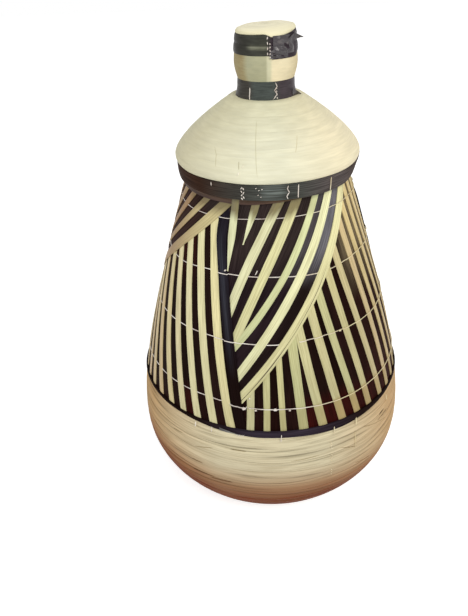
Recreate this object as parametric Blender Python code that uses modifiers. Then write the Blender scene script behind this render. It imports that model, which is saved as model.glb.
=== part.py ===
"""Lidded basket of flat plant splints sewn over a coiled wall, with a lift-off lid and a wrapped knob.

Metres, +Z up. The origin is the centre of the flat underside, and -Y is the front.
"""

import math

import bmesh
import bpy

# Basket body
BASE_RADIUS = 0.0755
BASE_THICKNESS = 0.006
BELLY_RADIUS = 0.135
BELLY_HEIGHT = 0.0925
WAIST_HEIGHT = 0.1440
MOUTH_RADIUS = 0.0736
MOUTH_HEIGHT = 0.3438
BOWL_FULLNESS = 2.33
NECK_SWEEP = 1.58
NECK_S_SHARE = 0.25
WALL_THICKNESS = 0.004
BOWL_COURSES = 6

# Flat splints and the clearances between their layers
SPLINT_THICKNESS = 0.0005
LAYER_GAP = 0.0004
SKIN_DEPTH = 0.0024
SEAT_GAP = 0.0003

# Hoops and sewn rings
WAIST_HOOP_HEIGHT = 0.0064
MOUTH_HOOP_HEIGHT = 0.0070
HOOP_THICKNESS = 0.0016
THREAD_RADIUS = 0.0006
THREAD_SHARES = (0.105, 0.405, 0.682, 0.917)

# Stripe pattern: four equal units round the neck, angles in degrees from the front
UNITS = 4
UPRIGHTS = 11
UPRIGHT_WIDTH = 0.0071
UPRIGHT_FIRST_ANGLE = -8.1
UPRIGHT_PITCH = 8.16
UPRIGHT_LEAN = 19.0
UPRIGHT_FAN_COUNT = 4.5
SLANTS = 7
SLANT_WIDTH = 0.0077
SLANT_RIM_ANGLE = -18.0
SLANT_RIM_PITCH = 12.5
SLANT_LOWEST_START_SHARE = 0.196
SLANT_START_STEP_SHARE = 0.0915
SLANT_CURVE = 0.2
WEDGES = 2
WEDGE_START_SHARES = (0.68, 0.81)
WEDGE_ANGLE = -21.7
WEDGE_PITCH = 7.5
WEDGE_WIDTH = 0.0055
WEDGE_TIP_SHARE = 0.2
EDGE_SPLINT_WIDTH = 0.0089
EDGE_SPLINT_ANGLE = -11.8
EDGE_SPLINT_LEAN = 18.5
EDGE_SPLINT_TOP_SHARE = 0.955
EDGE_DIP_START_SHARE = 0.02
EDGE_DIP_END_SHARE = 0.09
LOWEST_SLANT_END_SHARE = 0.05
HIGHEST_UPRIGHT_END_SHARE = 0.93
FOOT_BAND_HEIGHT = 0.0038
HEAD_BAND_HEIGHT = 0.0062
UNDERLAP = 0.0015

# Lid
LID_OVERHANG = 0.0082
LID_BAND_HEIGHT = 0.0139
LID_BAND_INSET = 0.0008
LID_BAND_TAPER = 0.0012
LID_EDGE_HEIGHT = 0.0060
LID_CONE_HEIGHT = 0.0532
LID_CONE_TOP_RADIUS = 0.0292
LID_CONE_CURVE = 1.35
LID_COURSES = 5
LID_SHELL_THICKNESS = 0.0038
LID_SKIN_DEPTH = 0.0022
LID_INNER_DROP = 0.0013
COLLAR_DEPTH = 0.0200
COLLAR_THICKNESS = 0.0036
COLLAR_FLANGE_HEIGHT = 0.0030
COLLAR_CLEARANCE = 0.0015

# Knob
KNOB_FOOT_RADIUS = 0.0273
KNOB_NECK_RADIUS = 0.0238
KNOB_BELLY_RADIUS = 0.0263
KNOB_TOP_RADIUS = 0.0248
KNOB_FOOT_HEIGHT = 0.0150
KNOB_WAIST_HEIGHT = 0.0202
KNOB_UPPER_HEIGHT = 0.0064
KNOB_TOP_HEIGHT = 0.0092
KNOB_CAP_THICKNESS = 0.0050
KNOB_CAP_EDGE_HEIGHT = 0.0022
KNOB_CAP_EDGE_INSET = 0.0022
KNOB_WRAP_THICKNESS = 0.0016
KNOB_PINCH_SHARE = 0.55
KNOB_SWELL_SHARE = 0.65

# Facets of the turned pieces and the spacing of rows along the splints
SEGMENTS = 36
KNOB_SEGMENTS = 24
PATTERN_ROWS = 5
PATTERN_ROW_SPREAD = 1.2
SLANT_ROW_STEP = 0.017
UNDERLAY_COLUMNS = 16
SLANT_UNDERLAY_COLUMNS = 12
PATH_STEP = 0.005
HALVINGS = 40
MERGE_DISTANCE = 0.00001

# Levels worked out from the sizes above
PATTERN_HEIGHT = MOUTH_HEIGHT - WAIST_HEIGHT
FOOT_SHARE = -FOOT_BAND_HEIGHT / PATTERN_HEIGHT
RIM_SHARE = 1.0 - SEAT_GAP / PATTERN_HEIGHT
LID_SEAT = MOUTH_HEIGHT + SEAT_GAP
LID_RADIUS = MOUTH_RADIUS + LID_OVERHANG
LID_SHOULDER = LID_SEAT + LID_BAND_HEIGHT
LID_TOP = LID_SHOULDER + LID_CONE_HEIGHT
UNIT_ANGLE = 360.0 / UNITS

# Colours as red, green, blue from 0 to 1 on the screen
STRAW = (0.84, 0.80, 0.58)
GREEN_STRAW = (0.86, 0.87, 0.66)
DARK_SPLINT = (0.12, 0.08, 0.10)
BLACK_SPLINT = (0.15, 0.14, 0.16)
BOWL_STRAW = (0.80, 0.74, 0.56)
LID_CREAM = (0.90, 0.87, 0.72)
CORE_FIBRE = (0.66, 0.57, 0.38)
HOOP_BROWN = (0.42, 0.29, 0.22)
THREAD_WHITE = (0.90, 0.87, 0.85)


def clear_scene():
    """Remove whatever the file opened with."""
    for item in list(bpy.data.objects):
        bpy.data.objects.remove(item, do_unlink=True)


def new_collection(name):
    """Make the collection that holds the basket."""
    collection = bpy.data.collections.new(name)
    bpy.context.scene.collection.children.link(collection)
    return collection


def to_linear(channel):
    """Turn one screen colour channel into a linear one."""
    if channel <= 0.04045:
        return channel / 12.92
    return ((channel + 0.055) / 1.055) ** 2.4


def splint_material(name, colour, roughness):
    """Make a plain matte or satin plant fibre."""
    material = bpy.data.materials.new(name)
    material.use_nodes = True
    shader = material.node_tree.nodes["Principled BSDF"]
    shader.inputs["Base Color"].default_value = [to_linear(c) for c in colour] + [1.0]
    shader.inputs["Roughness"].default_value = roughness
    shader.inputs["Metallic"].default_value = 0.0
    return material


def place(name, mesh, material, collection):
    """Put a mesh in the collection under its own name and material."""
    mesh.materials.append(material)
    item = bpy.data.objects.new(name, mesh)
    collection.objects.link(item)
    return item


def turned(name, profile, segments, material, collection):
    """Turn a closed profile of (radius, height) points, listed down the outside and up the inside."""
    mesh = bpy.data.meshes.new(name)
    points = [(radius, 0.0, height) for radius, height in profile]
    edges = [(i, (i + 1) % len(points)) for i in range(len(points))]
    mesh.from_pydata(points, edges, [])
    item = place(name, mesh, material, collection)
    return add_screw(item, segments)


def turned_solid(name, profile, segments, material, collection):
    """Turn an open profile that starts and ends on the axis."""
    mesh = bpy.data.meshes.new(name)
    points = [(radius, 0.0, height) for radius, height in profile]
    edges = [(i, i + 1) for i in range(len(points) - 1)]
    mesh.from_pydata(points, edges, [])
    item = place(name, mesh, material, collection)
    return add_screw(item, segments)


def add_screw(item, segments):
    """Turn a profile right round the Z axis."""
    screw = item.modifiers.new("turn", "SCREW")
    screw.angle = 2.0 * math.pi
    screw.steps = segments
    screw.render_steps = segments
    screw.use_merge_vertices = True
    screw.merge_threshold = MERGE_DISTANCE
    screw.use_smooth_shade = True
    return item


def facet_radius(radius, segments=SEGMENTS):
    """Radius of a faceted ring's corners whose flats stay outside the given radius."""
    return radius / math.cos(math.pi / segments)


def smooth_outline(height):
    """Outer radius of the finished basket at a height."""
    if height < BELLY_HEIGHT:
        drop = (BELLY_HEIGHT - height) / BELLY_HEIGHT
        return BELLY_RADIUS - (BELLY_RADIUS - BASE_RADIUS) * drop ** BOWL_FULLNESS
    rise = (height - BELLY_HEIGHT) / (MOUTH_HEIGHT - BELLY_HEIGHT)
    sweep = rise ** NECK_SWEEP
    s_curve = rise * rise * (3.0 - 2.0 * rise)
    share = (1.0 - NECK_S_SHARE) * sweep + NECK_S_SHARE * s_curve
    return BELLY_RADIUS - (BELLY_RADIUS - MOUTH_RADIUS) * share


def bowl_levels():
    """Heights of the joints between the bowl's courses, from the base to the waist hoop."""
    low = BASE_THICKNESS + SEAT_GAP
    high = WAIST_HEIGHT - WAIST_HOOP_HEIGHT
    return [low + (high - low) * i / BOWL_COURSES for i in range(BOWL_COURSES + 1)]


def pattern_level(share):
    """Height at a share of the striped neck, 0 at the waist and 1 at the mouth."""
    return WAIST_HEIGHT + PATTERN_HEIGHT * share


def pattern_rows():
    """Shares of the neck's height where the wall and every splint have a row."""
    return [(i / PATTERN_ROWS) ** PATTERN_ROW_SPREAD for i in range(PATTERN_ROWS + 1)]


def wall_levels():
    """Every height where the basket's wall has a row, from bottom to top."""
    return bowl_levels() + [pattern_level(share) for share in pattern_rows()]


def outline(height):
    """Outer radius of the basket with straight runs between the wall's rows."""
    levels = wall_levels()
    height = min(max(height, levels[0]), levels[-1])
    for low, high in zip(levels, levels[1:]):
        if height <= high:
            share = (height - low) / (high - low)
            return smooth_outline(low) * (1.0 - share) + smooth_outline(high) * share
    return smooth_outline(levels[-1])


def core_radius(height):
    """Outer radius of the coiled wall under the splints."""
    return outline(height) - SKIN_DEPTH


def layer_outer(layer):
    """Height of a splint layer's outer face above the coiled wall, layer 1 being the lowest."""
    return layer * (LAYER_GAP + SPLINT_THICKNESS)


def half_angle(width, share):
    """Half of a width along the surface, as degrees round the neck at a share of its height."""
    return math.degrees(width / 2.0 / outline(pattern_level(share)))


def widened(width, path, share):
    """Half angle of a strip that runs along a path, measured level across it."""
    turn = math.radians(path(share + PATH_STEP) - path(share - PATH_STEP))
    turn /= 2.0 * PATH_STEP * PATTERN_HEIGHT
    lean = turn * outline(pattern_level(share))
    return half_angle(width, share) * math.sqrt(1.0 + lean * lean)


def crossing(side, line, low, high):
    """Share of the neck's height where a strip's side meets a line, by halving the span."""
    at_low = side(low) - line(low)
    if at_low * (side(high) - line(high)) > 0.0:
        return high
    for _ in range(HALVINGS):
        middle = (low + high) / 2.0
        if at_low * (side(middle) - line(middle)) > 0.0:
            low = middle
        else:
            high = middle
    return (low + high) / 2.0


def edge_splint_path(share):
    """Angle of the wide black splint that starts each unit."""
    return EDGE_SPLINT_ANGLE - EDGE_SPLINT_LEAN * share


def upright_path(index):
    """Path of one pale upright: those by the black splint stand straight, the others lean."""
    fan = min(1.0, (index / UPRIGHT_FAN_COUNT) ** 2)
    foot = UPRIGHT_FIRST_ANGLE + UPRIGHT_PITCH * index
    return lambda share: foot - UPRIGHT_LEAN * fan * share


def slant_path(index):
    """Path of one pale slant, from the black splint up to the mouth."""
    start = SLANT_LOWEST_START_SHARE + SLANT_START_STEP_SHARE * (SLANTS - 1 - index)
    start_angle = edge_splint_path(start)
    if index < WEDGES:
        start = WEDGE_START_SHARES[index]
        start_angle = WEDGE_ANGLE + WEDGE_PITCH * index
    rim_angle = SLANT_RIM_ANGLE + SLANT_RIM_PITCH * index

    def path(share):
        along = (share - start) / (1.0 - start)
        bend = (1.0 - SLANT_CURVE) * along + SLANT_CURVE * along * abs(along)
        return start_angle + (rim_angle - start_angle) * bend

    return path


def lowest_slant(share):
    """Path of the lowest slant, which covers the upper ends of the uprights."""
    return slant_path(SLANTS - 1)(share)


def tuck_angle():
    """How far a hidden end tucks in under the splint that covers it, in degrees."""
    return half_angle(2.0 * UNDERLAP, 0.5)


def upright_ceiling(share):
    """Line where the uprights end, tucked under the lowest slant."""
    return lowest_slant(share) + tuck_angle()


def slant_floor(share):
    """Line where the dark slants end, tucked under the lowest pale slant from above."""
    return lowest_slant(share) - tuck_angle()


def shifted_edge(shift):
    """Path that keeps a fixed angle from the wide black splint."""
    return lambda share: edge_splint_path(share) + shift


def held_at(side, share):
    """Column that keeps the angle that a strip's side has at one level."""
    return lambda _: side(share)


def wedge_side(index, sign):
    """One side of a short slant that widens from a narrow lower tip to the mouth."""
    path = slant_path(index)
    start = WEDGE_START_SHARES[index]

    def side(share):
        along = (share - start) / (head_share() - start)
        width = WEDGE_WIDTH * (WEDGE_TIP_SHARE + (1.0 - WEDGE_TIP_SHARE) * along)
        return path(share) + sign * half_angle(width, share)

    return side


def side_of(path, width, sign):
    """One side of a strip along a path, to the left with sign -1 and to the right with +1."""
    return lambda share: path(share) + sign * widened(width, path, share)


def surface_point(angle, share, offset):
    """Point over the coiled wall at an angle, a share of the neck's height and an offset outwards."""
    height = pattern_level(share)
    radius = core_radius(height) + offset
    turn = math.radians(angle)
    return (radius * math.sin(turn), -radius * math.cos(turn), height)


def lay_grid(bm, sides, spans, rows, offset):
    """Lay one grid of faces whose columns follow the sides, each held inside its own span."""
    result = bmesh.ops.create_grid(bm, x_segments=len(sides) - 1, y_segments=len(rows) - 1, size=1.0)
    for vert in result["verts"]:
        column = round((vert.co.x + 1.0) / 2.0 * (len(sides) - 1))
        row = round((vert.co.y + 1.0) / 2.0 * (len(rows) - 1))
        low, high = spans[column]
        share = min(max(rows[row], low), high)
        vert.co = surface_point(sides[column](share), share, offset(share))


def laid_piece(name, bm, unit, material, collection):
    """Weld the laid faces into one sheet, thicken it and turn it to its unit round the neck."""
    bmesh.ops.remove_doubles(bm, verts=bm.verts, dist=MERGE_DISTANCE)
    bmesh.ops.recalc_face_normals(bm, faces=bm.faces)
    outward = sum(face.normal.dot(face.calc_center_median()) for face in bm.faces)
    if outward < 0.0:
        bmesh.ops.reverse_faces(bm, faces=bm.faces)
    mesh = bpy.data.meshes.new(name)
    bm.to_mesh(mesh)
    bm.free()
    item = place(name, mesh, material, collection)
    item.rotation_euler.z = math.radians(UNIT_ANGLE * unit)
    solidify = item.modifiers.new("thickness", "SOLIDIFY")
    solidify.thickness = SPLINT_THICKNESS
    solidify.offset = -1.0
    triangulate = item.modifiers.new("facets", "TRIANGULATE")
    triangulate.quad_method = "SHORTEST_DIAGONAL"
    return item


def flat_offset(layer):
    """Offset of a strip that lies in one layer all along."""
    return lambda share: layer_outer(layer)


def slant_rows():
    """Rows of the slants: those of the wall, with finer steps between them."""
    rows = []
    wall = pattern_rows()
    for low, high in zip(wall, wall[1:]):
        steps = math.ceil((high - low) * PATTERN_HEIGHT / SLANT_ROW_STEP)
        rows += [low + (high - low) * i / steps for i in range(steps)]
    return rows + [1.0]


def head_share():
    """Share of the neck's height where the slants join their head band, under the mouth hoop."""
    return 1.0 - HEAD_BAND_HEIGHT / PATTERN_HEIGHT


def make_upright_pale(unit, material, collection):
    """Pale uprights of one unit, joined at a foot band under the waist hoop."""
    bm = bmesh.new()
    feet = []
    for index in range(UPRIGHTS):
        path = upright_path(index)
        sides = [side_of(path, UPRIGHT_WIDTH, sign) for sign in (-1, 1)]
        spans = [(0.0, crossing(side, upright_ceiling, 0.0, HIGHEST_UPRIGHT_END_SHARE)) for side in sides]
        lay_grid(bm, sides, spans, pattern_rows(), flat_offset(2))
        feet += sides
    columns = [held_at(side, 0.0) for side in feet]
    lay_grid(bm, columns, [(FOOT_SHARE, 0.0)] * len(columns), [FOOT_SHARE, 0.0], flat_offset(2))
    return laid_piece(f"upright_pale_{unit + 1}", bm, unit, material, collection)


def make_upright_dark(unit, material, collection):
    """Dark uprights of one unit, lying side by side under the pale ones."""
    bm = bmesh.new()
    margin = tuck_angle()
    span = UNIT_ANGLE - 2.0 * margin
    shifts = [margin + span * index / UNDERLAY_COLUMNS for index in range(UNDERLAY_COLUMNS + 1)]
    columns = [shifted_edge(shift) for shift in shifts]
    spans = [(FOOT_SHARE, crossing(column, upright_ceiling, 0.0, HIGHEST_UPRIGHT_END_SHARE)) for column in columns]
    lay_grid(bm, columns, spans, [FOOT_SHARE] + pattern_rows(), flat_offset(1))
    return laid_piece(f"upright_dark_{unit + 1}", bm, unit, material, collection)


def make_slant_pale(unit, material, collection):
    """Pale slants of one unit, joined at a head band under the mouth hoop."""
    bm = bmesh.new()
    head = head_share()
    tops = []
    for index in range(SLANTS):
        if index < WEDGES:
            sides = [wedge_side(index, sign) for sign in (-1, 1)]
            spans = [(WEDGE_START_SHARES[index], head)] * 2
        else:
            sides = [side_of(slant_path(index), SLANT_WIDTH, sign) for sign in (-1, 1)]
            spans = [(crossing(side, edge_splint_path, LOWEST_SLANT_END_SHARE, head), head) for side in sides]
        lay_grid(bm, sides, spans, slant_rows(), flat_offset(3))
        tops += sides
    columns = [held_at(side, head) for side in tops]
    lay_grid(bm, columns, [(head, RIM_SHARE)] * len(columns), [head, RIM_SHARE], flat_offset(3))
    return laid_piece(f"slant_pale_{unit + 1}", bm, unit, material, collection)


def make_slant_dark(unit, material, collection):
    """Dark slants of one unit, lying side by side under the pale ones."""
    bm = bmesh.new()
    margin = tuck_angle()
    span = min(lowest_slant(RIM_SHARE) - edge_splint_path(RIM_SHARE), UNIT_ANGLE) - 2.0 * margin
    steps = SLANT_UNDERLAY_COLUMNS
    columns = [shifted_edge(margin + span * index / steps) for index in range(steps + 1)]
    ends = [crossing(column, slant_floor, LOWEST_SLANT_END_SHARE, RIM_SHARE) for column in columns]
    lay_grid(bm, columns, [(end, RIM_SHARE) for end in ends], pattern_rows(), flat_offset(2))
    return laid_piece(f"slant_dark_{unit + 1}", bm, unit, material, collection)


def make_edge_splint(unit, material, collection):
    """Wide black splint over the lower ends of a unit's slants, dipping under the waist hoop."""
    bm = bmesh.new()
    high = layer_outer(4)
    low = layer_outer(3)

    def offset(share):
        along = min(max((share - EDGE_DIP_START_SHARE) / (EDGE_DIP_END_SHARE - EDGE_DIP_START_SHARE), 0.0), 1.0)
        return low + (high - low) * along

    sides = [side_of(edge_splint_path, EDGE_SPLINT_WIDTH, sign) for sign in (-1, 1)]
    rows = sorted([FOOT_SHARE, EDGE_DIP_START_SHARE, EDGE_DIP_END_SHARE] + pattern_rows())
    lay_grid(bm, sides, [(FOOT_SHARE, EDGE_SPLINT_TOP_SHARE)] * 2, rows, offset)
    return laid_piece(f"edge_splint_{unit + 1}", bm, unit, material, collection)


def make_base_disc(material, collection):
    """Flat coiled disc that the basket stands on."""
    top_radius = smooth_outline(BASE_THICKNESS) - SKIN_DEPTH
    profile = [(0.0, BASE_THICKNESS), (top_radius, BASE_THICKNESS), (BASE_RADIUS, 0.0), (0.0, 0.0)]
    return turned_solid("base_disc", profile, SEGMENTS, material, collection)


def make_wall(material, collection):
    """Coiled wall of the whole basket, open at the mouth and closed below by the base disc."""
    levels = wall_levels()
    outer = [(core_radius(z), z) for z in reversed(levels)]
    inner = [(core_radius(z) - WALL_THICKNESS, z) for z in levels[::2]]
    if levels[-1] != levels[::2][-1]:
        inner.append((core_radius(levels[-1]) - WALL_THICKNESS, levels[-1]))
    return turned("body_coil_wall", outer + inner, SEGMENTS, material, collection)


def make_bowl_courses(material, collection):
    """Plain splint courses round the bowl, one ring over another."""
    levels = bowl_levels()
    for index, (low, high) in enumerate(zip(levels, levels[1:])):
        top = high - SEAT_GAP
        profile = [
            (outline(top), top),
            (outline(low), low),
            (core_radius(low) + LAYER_GAP, low),
            (core_radius(top) + LAYER_GAP, top),
        ]
        turned(f"bowl_course_{index + 1}", profile, SEGMENTS, material, collection)


def make_hoop(name, low, high, clear_layer, material, collection):
    """Flat hoop bound round the splints, clear of all layers up to the one given."""
    clear = layer_outer(clear_layer) + SEAT_GAP
    inner_low = facet_radius(core_radius(low) + clear)
    inner_high = facet_radius(core_radius(high) + clear)
    profile = [
        (inner_high + HOOP_THICKNESS, high),
        (inner_low + HOOP_THICKNESS, low),
        (inner_low, low),
        (inner_high, high),
    ]
    return turned(name, profile, SEGMENTS, material, collection)


def make_thread_rings(material, collection):
    """Sewn threads that run round the neck over all the splints."""
    for index, share in enumerate(THREAD_SHARES):
        height = pattern_level(share)
        clear = core_radius(height) + layer_outer(4) + LAYER_GAP + THREAD_RADIUS
        middle = facet_radius(clear)
        profile = [
            (middle, height + THREAD_RADIUS),
            (middle + THREAD_RADIUS, height),
            (middle, height - THREAD_RADIUS),
            (middle - THREAD_RADIUS, height),
        ]
        turned(f"thread_ring_{index + 1}", profile, SEGMENTS, material, collection)


def lid_levels():
    """Heights of the joints between the lid's courses, from the shoulder to the knob."""
    return [LID_SHOULDER + LID_CONE_HEIGHT * i / LID_COURSES for i in range(LID_COURSES + 1)]


def lid_outline(height):
    """Outer radius of the lid: its lower edge stands upright, and the cone starts above that."""
    rise = (height - LID_SHOULDER - LID_EDGE_HEIGHT) / (LID_CONE_HEIGHT - LID_EDGE_HEIGHT)
    return LID_RADIUS - (LID_RADIUS - LID_CONE_TOP_RADIUS) * max(rise, 0.0) ** LID_CONE_CURVE


def make_lid_cone(material, collection):
    """Hollow shell of the lid, open below and closed by a flat top under the knob."""
    levels = lid_levels()
    outer = [(lid_outline(z) - LID_SKIN_DEPTH, z) for z in reversed(levels)]
    rim = LID_RADIUS - LID_SKIN_DEPTH - LID_BAND_TAPER
    outer.append((rim, LID_SEAT))
    inner = [(rim - LID_SHELL_THICKNESS, LID_SEAT)]
    for z in levels[:-1]:
        inner.append((lid_outline(z) - LID_SKIN_DEPTH - LID_SHELL_THICKNESS, z - LID_INNER_DROP))
    roof = LID_TOP - LID_SHELL_THICKNESS
    inner.append((0.0, roof))
    profile = [(0.0, LID_TOP)] + outer + inner
    return turned_solid("lid_cone", profile, SEGMENTS, material, collection)


def make_lid_collar(material, collection):
    """Ring sewn under the lid: a flange that rests on the mouth and a collar that drops inside it."""
    mouth_bore = (core_radius(MOUTH_HEIGHT) - WALL_THICKNESS) * math.cos(math.pi / SEGMENTS)
    collar = mouth_bore - COLLAR_CLEARANCE
    bore = collar - COLLAR_THICKNESS
    shell_bore = LID_RADIUS - LID_SKIN_DEPTH - LID_BAND_TAPER - LID_SHELL_THICKNESS - SEAT_GAP
    flange_top = LID_SEAT + COLLAR_FLANGE_HEIGHT
    bottom = LID_SEAT - COLLAR_DEPTH
    profile = [
        (shell_bore, flange_top),
        (shell_bore, LID_SEAT),
        (collar, LID_SEAT),
        (collar, bottom),
        (bore, bottom),
        (bore, flange_top),
    ]
    return turned("lid_collar", profile, SEGMENTS, material, collection)


def make_lid_band(material, collection):
    """Black band round the lid's rim, a little narrower at its foot."""
    inner = LID_RADIUS - LID_SKIN_DEPTH + LAYER_GAP
    top = LID_SHOULDER - SEAT_GAP
    outer = LID_RADIUS - LID_BAND_INSET
    profile = [
        (outer, top),
        (outer - LID_BAND_TAPER, LID_SEAT),
        (inner - LID_BAND_TAPER, LID_SEAT),
        (inner, top),
    ]
    return turned("lid_rim_band", profile, SEGMENTS, material, collection)


def make_lid_courses(material, collection):
    """Pale splint courses round the lid's cone."""
    levels = lid_levels()
    for index, (low, high) in enumerate(zip(levels, levels[1:])):
        top = high - SEAT_GAP
        profile = [
            (lid_outline(top), top),
            (lid_outline(low), low),
            (lid_outline(low) - LID_SKIN_DEPTH + LAYER_GAP, low),
            (lid_outline(high) - LID_SKIN_DEPTH + LAYER_GAP * 2.0, top),
        ]
        turned(f"lid_course_{index + 1}", profile, SEGMENTS, material, collection)


def knob_levels():
    """Heights of the knob's foot, neck, belly, upper wrap, top wrap, cap and top face."""
    foot = LID_TOP + SEAT_GAP
    neck = foot + KNOB_FOOT_HEIGHT
    belly = neck + KNOB_WAIST_HEIGHT
    upper = belly + KNOB_UPPER_HEIGHT
    cap = upper + KNOB_TOP_HEIGHT
    return foot, neck, belly, upper, cap, cap + KNOB_CAP_THICKNESS


def knob_band(name, rows, material, collection):
    """One wrap round the knob: rows are (radius, height) from bottom to top."""
    outer = list(reversed(rows))
    inner = [(radius - KNOB_WRAP_THICKNESS, height) for radius, height in rows]
    return turned(name, outer + inner, KNOB_SEGMENTS, material, collection)


def make_knob(collection, pale, black, fibre):
    """Knob on the lid: a round core, four wraps one over another and a pale disc on top."""
    foot, neck, belly, upper, cap, top = knob_levels()
    pinch = foot + KNOB_FOOT_HEIGHT * KNOB_PINCH_SHARE
    swell = neck + KNOB_WAIST_HEIGHT * KNOB_SWELL_SHARE
    under = KNOB_WRAP_THICKNESS + SEAT_GAP
    core = [
        (0.0, cap - SEAT_GAP),
        (KNOB_TOP_RADIUS - under, cap - SEAT_GAP),
        (KNOB_BELLY_RADIUS - under, swell),
        (KNOB_NECK_RADIUS - under, neck),
        (KNOB_NECK_RADIUS - under, pinch),
        (KNOB_FOOT_RADIUS - under, foot),
        (0.0, foot),
    ]
    turned_solid("knob_core", core, KNOB_SEGMENTS, fibre, collection)
    taper = (KNOB_TOP_RADIUS - KNOB_BELLY_RADIUS) / (cap - SEAT_GAP - swell)
    belly_radius = KNOB_BELLY_RADIUS + taper * (belly - swell)
    upper_radius = KNOB_BELLY_RADIUS + taper * (upper - swell)
    foot_rows = [(KNOB_FOOT_RADIUS, foot), (KNOB_NECK_RADIUS, pinch), (KNOB_NECK_RADIUS, neck - SEAT_GAP)]
    knob_band("knob_foot_wrap", foot_rows, black, collection)
    waist_rows = [(KNOB_NECK_RADIUS, neck), (KNOB_BELLY_RADIUS, swell), (belly_radius, belly - SEAT_GAP)]
    knob_band("knob_waist_wrap", waist_rows, pale, collection)
    upper_rows = [(belly_radius, belly), (upper_radius, upper - SEAT_GAP)]
    knob_band("knob_upper_wrap", upper_rows, black, collection)
    top_rows = [(upper_radius, upper), (KNOB_TOP_RADIUS, cap - SEAT_GAP)]
    knob_band("knob_top_wrap", top_rows, black, collection)
    disc = [
        (0.0, top),
        (KNOB_TOP_RADIUS - KNOB_CAP_EDGE_INSET, top),
        (KNOB_TOP_RADIUS, cap + KNOB_CAP_EDGE_HEIGHT),
        (KNOB_TOP_RADIUS, cap),
        (0.0, cap),
    ]
    turned_solid("knob_cap", disc, KNOB_SEGMENTS, pale, collection)


def build_basket():
    """Build every piece of the basket and its lid."""
    clear_scene()
    collection = new_collection("lidded_basket")
    straw = splint_material("straw_splint", STRAW, 0.55)
    green_straw = splint_material("green_straw_splint", GREEN_STRAW, 0.55)
    dark = splint_material("dark_splint", DARK_SPLINT, 0.5)
    black = splint_material("black_splint", BLACK_SPLINT, 0.35)
    bowl = splint_material("bowl_splint", BOWL_STRAW, 0.6)
    cream = splint_material("lid_splint", LID_CREAM, 0.6)
    fibre = splint_material("coil_fibre", CORE_FIBRE, 0.8)
    brown = splint_material("brown_hoop", HOOP_BROWN, 0.6)
    thread = splint_material("white_thread", THREAD_WHITE, 0.7)
    make_base_disc(fibre, collection)
    make_wall(fibre, collection)
    make_bowl_courses(bowl, collection)
    make_hoop("waist_hoop", WAIST_HEIGHT - WAIST_HOOP_HEIGHT, WAIST_HEIGHT, 3, black, collection)
    make_hoop("mouth_hoop", MOUTH_HEIGHT - MOUTH_HOOP_HEIGHT, MOUTH_HEIGHT, 3, brown, collection)
    for unit in range(UNITS):
        make_upright_pale(unit, straw, collection)
        make_upright_dark(unit, dark, collection)
        make_slant_pale(unit, green_straw, collection)
        make_slant_dark(unit, dark, collection)
        make_edge_splint(unit, black, collection)
    make_thread_rings(thread, collection)
    make_lid_cone(fibre, collection)
    make_lid_collar(fibre, collection)
    make_lid_band(black, collection)
    make_lid_courses(cream, collection)
    make_knob(collection, cream, black, fibre)


build_basket()
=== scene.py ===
"""Lidded basket of plain and dyed plant splints, sewn with cotton thread over a coiled wall.

Everything is in metres in the frame of the CAD model: +Z is up, -Y is the front.
Angles round the basket are in degrees from the front, positive to the right.
"""

import math
import random
from functools import lru_cache

import bpy
from mathutils import Euler, Matrix, Vector, noise


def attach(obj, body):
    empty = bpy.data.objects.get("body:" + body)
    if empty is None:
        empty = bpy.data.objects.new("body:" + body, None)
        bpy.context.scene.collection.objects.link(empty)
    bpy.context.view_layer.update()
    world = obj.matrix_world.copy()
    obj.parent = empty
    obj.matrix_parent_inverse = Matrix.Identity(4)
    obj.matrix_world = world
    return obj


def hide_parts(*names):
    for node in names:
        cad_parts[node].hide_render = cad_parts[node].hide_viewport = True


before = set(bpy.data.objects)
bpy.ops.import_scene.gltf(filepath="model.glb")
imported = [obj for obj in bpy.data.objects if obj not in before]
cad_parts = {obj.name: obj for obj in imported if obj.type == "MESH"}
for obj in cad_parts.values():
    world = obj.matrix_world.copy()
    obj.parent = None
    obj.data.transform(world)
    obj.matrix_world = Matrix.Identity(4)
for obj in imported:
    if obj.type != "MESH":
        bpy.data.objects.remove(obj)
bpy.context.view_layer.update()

# Sizes of the basket, the same as the CAD source has
BASE_RADIUS = 0.0755
BELLY_RADIUS = 0.135
BELLY_HEIGHT = 0.0925
BOWL_FULLNESS = 2.33
WAIST = 0.1440
RIM_RADIUS = 0.0736
RIM = 0.3438
NECK_CURVE = 1.58
NECK_CURVE_SHARE = 0.75
SKIN = 0.0024
LID_SEAT = 0.3441
LID_RADIUS = 0.0818
LID_SHOULDER = 0.3580
LID_EDGE = 0.0060
LID_CURVE = 1.38
BAND_INSET = 0.0008
BAND_TAPER = 0.0012
CONE_TOP_RADIUS = 0.0316
COLLAR_RADIUS = 0.0654
WINDING_TOP = 0.4100
KNOB_FOOT = 0.4097
KNOB_NECK = 0.4251
KNOB_BELLY = 0.4458
KNOB_UPPER = 0.4531
KNOB_CAP = 0.4623
KNOB_TOP = 0.4673

# How far the outer face of each layer of splints lies above the coiled wall
DARK_UPRIGHT_LIFT = 0.0011
PALE_UPRIGHT_LIFT = 0.0018
DARK_SLANT_LIFT = 0.0018
PALE_SLANT_LIFT = 0.0026
EDGE_LIFT = 0.0034
EDGE_FOOT_LIFT = 0.0017
EDGE_WIDTH = 0.0089
EDGE_THICKNESS = 0.0016
SPLINT_THICKNESS = 0.0005
CROWN = 0.00022
TUCK = 0.0022
# Ends of the splints under the two hoops, and the lowest that a slant starts by the black splint
NECK_FOOT = WAIST - 0.004
NECK_HEAD = RIM - 0.001
SLANT_FLOOR = WAIST + 0.008

# How finely the pieces are divided round the basket
COURSE_SEGMENTS = 240
RING_SEGMENTS = 144
KNOB_SEGMENTS = 96
COIL_SEGMENTS = 96
COIL_SIDES = 8
THREAD_POINTS = 720

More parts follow.
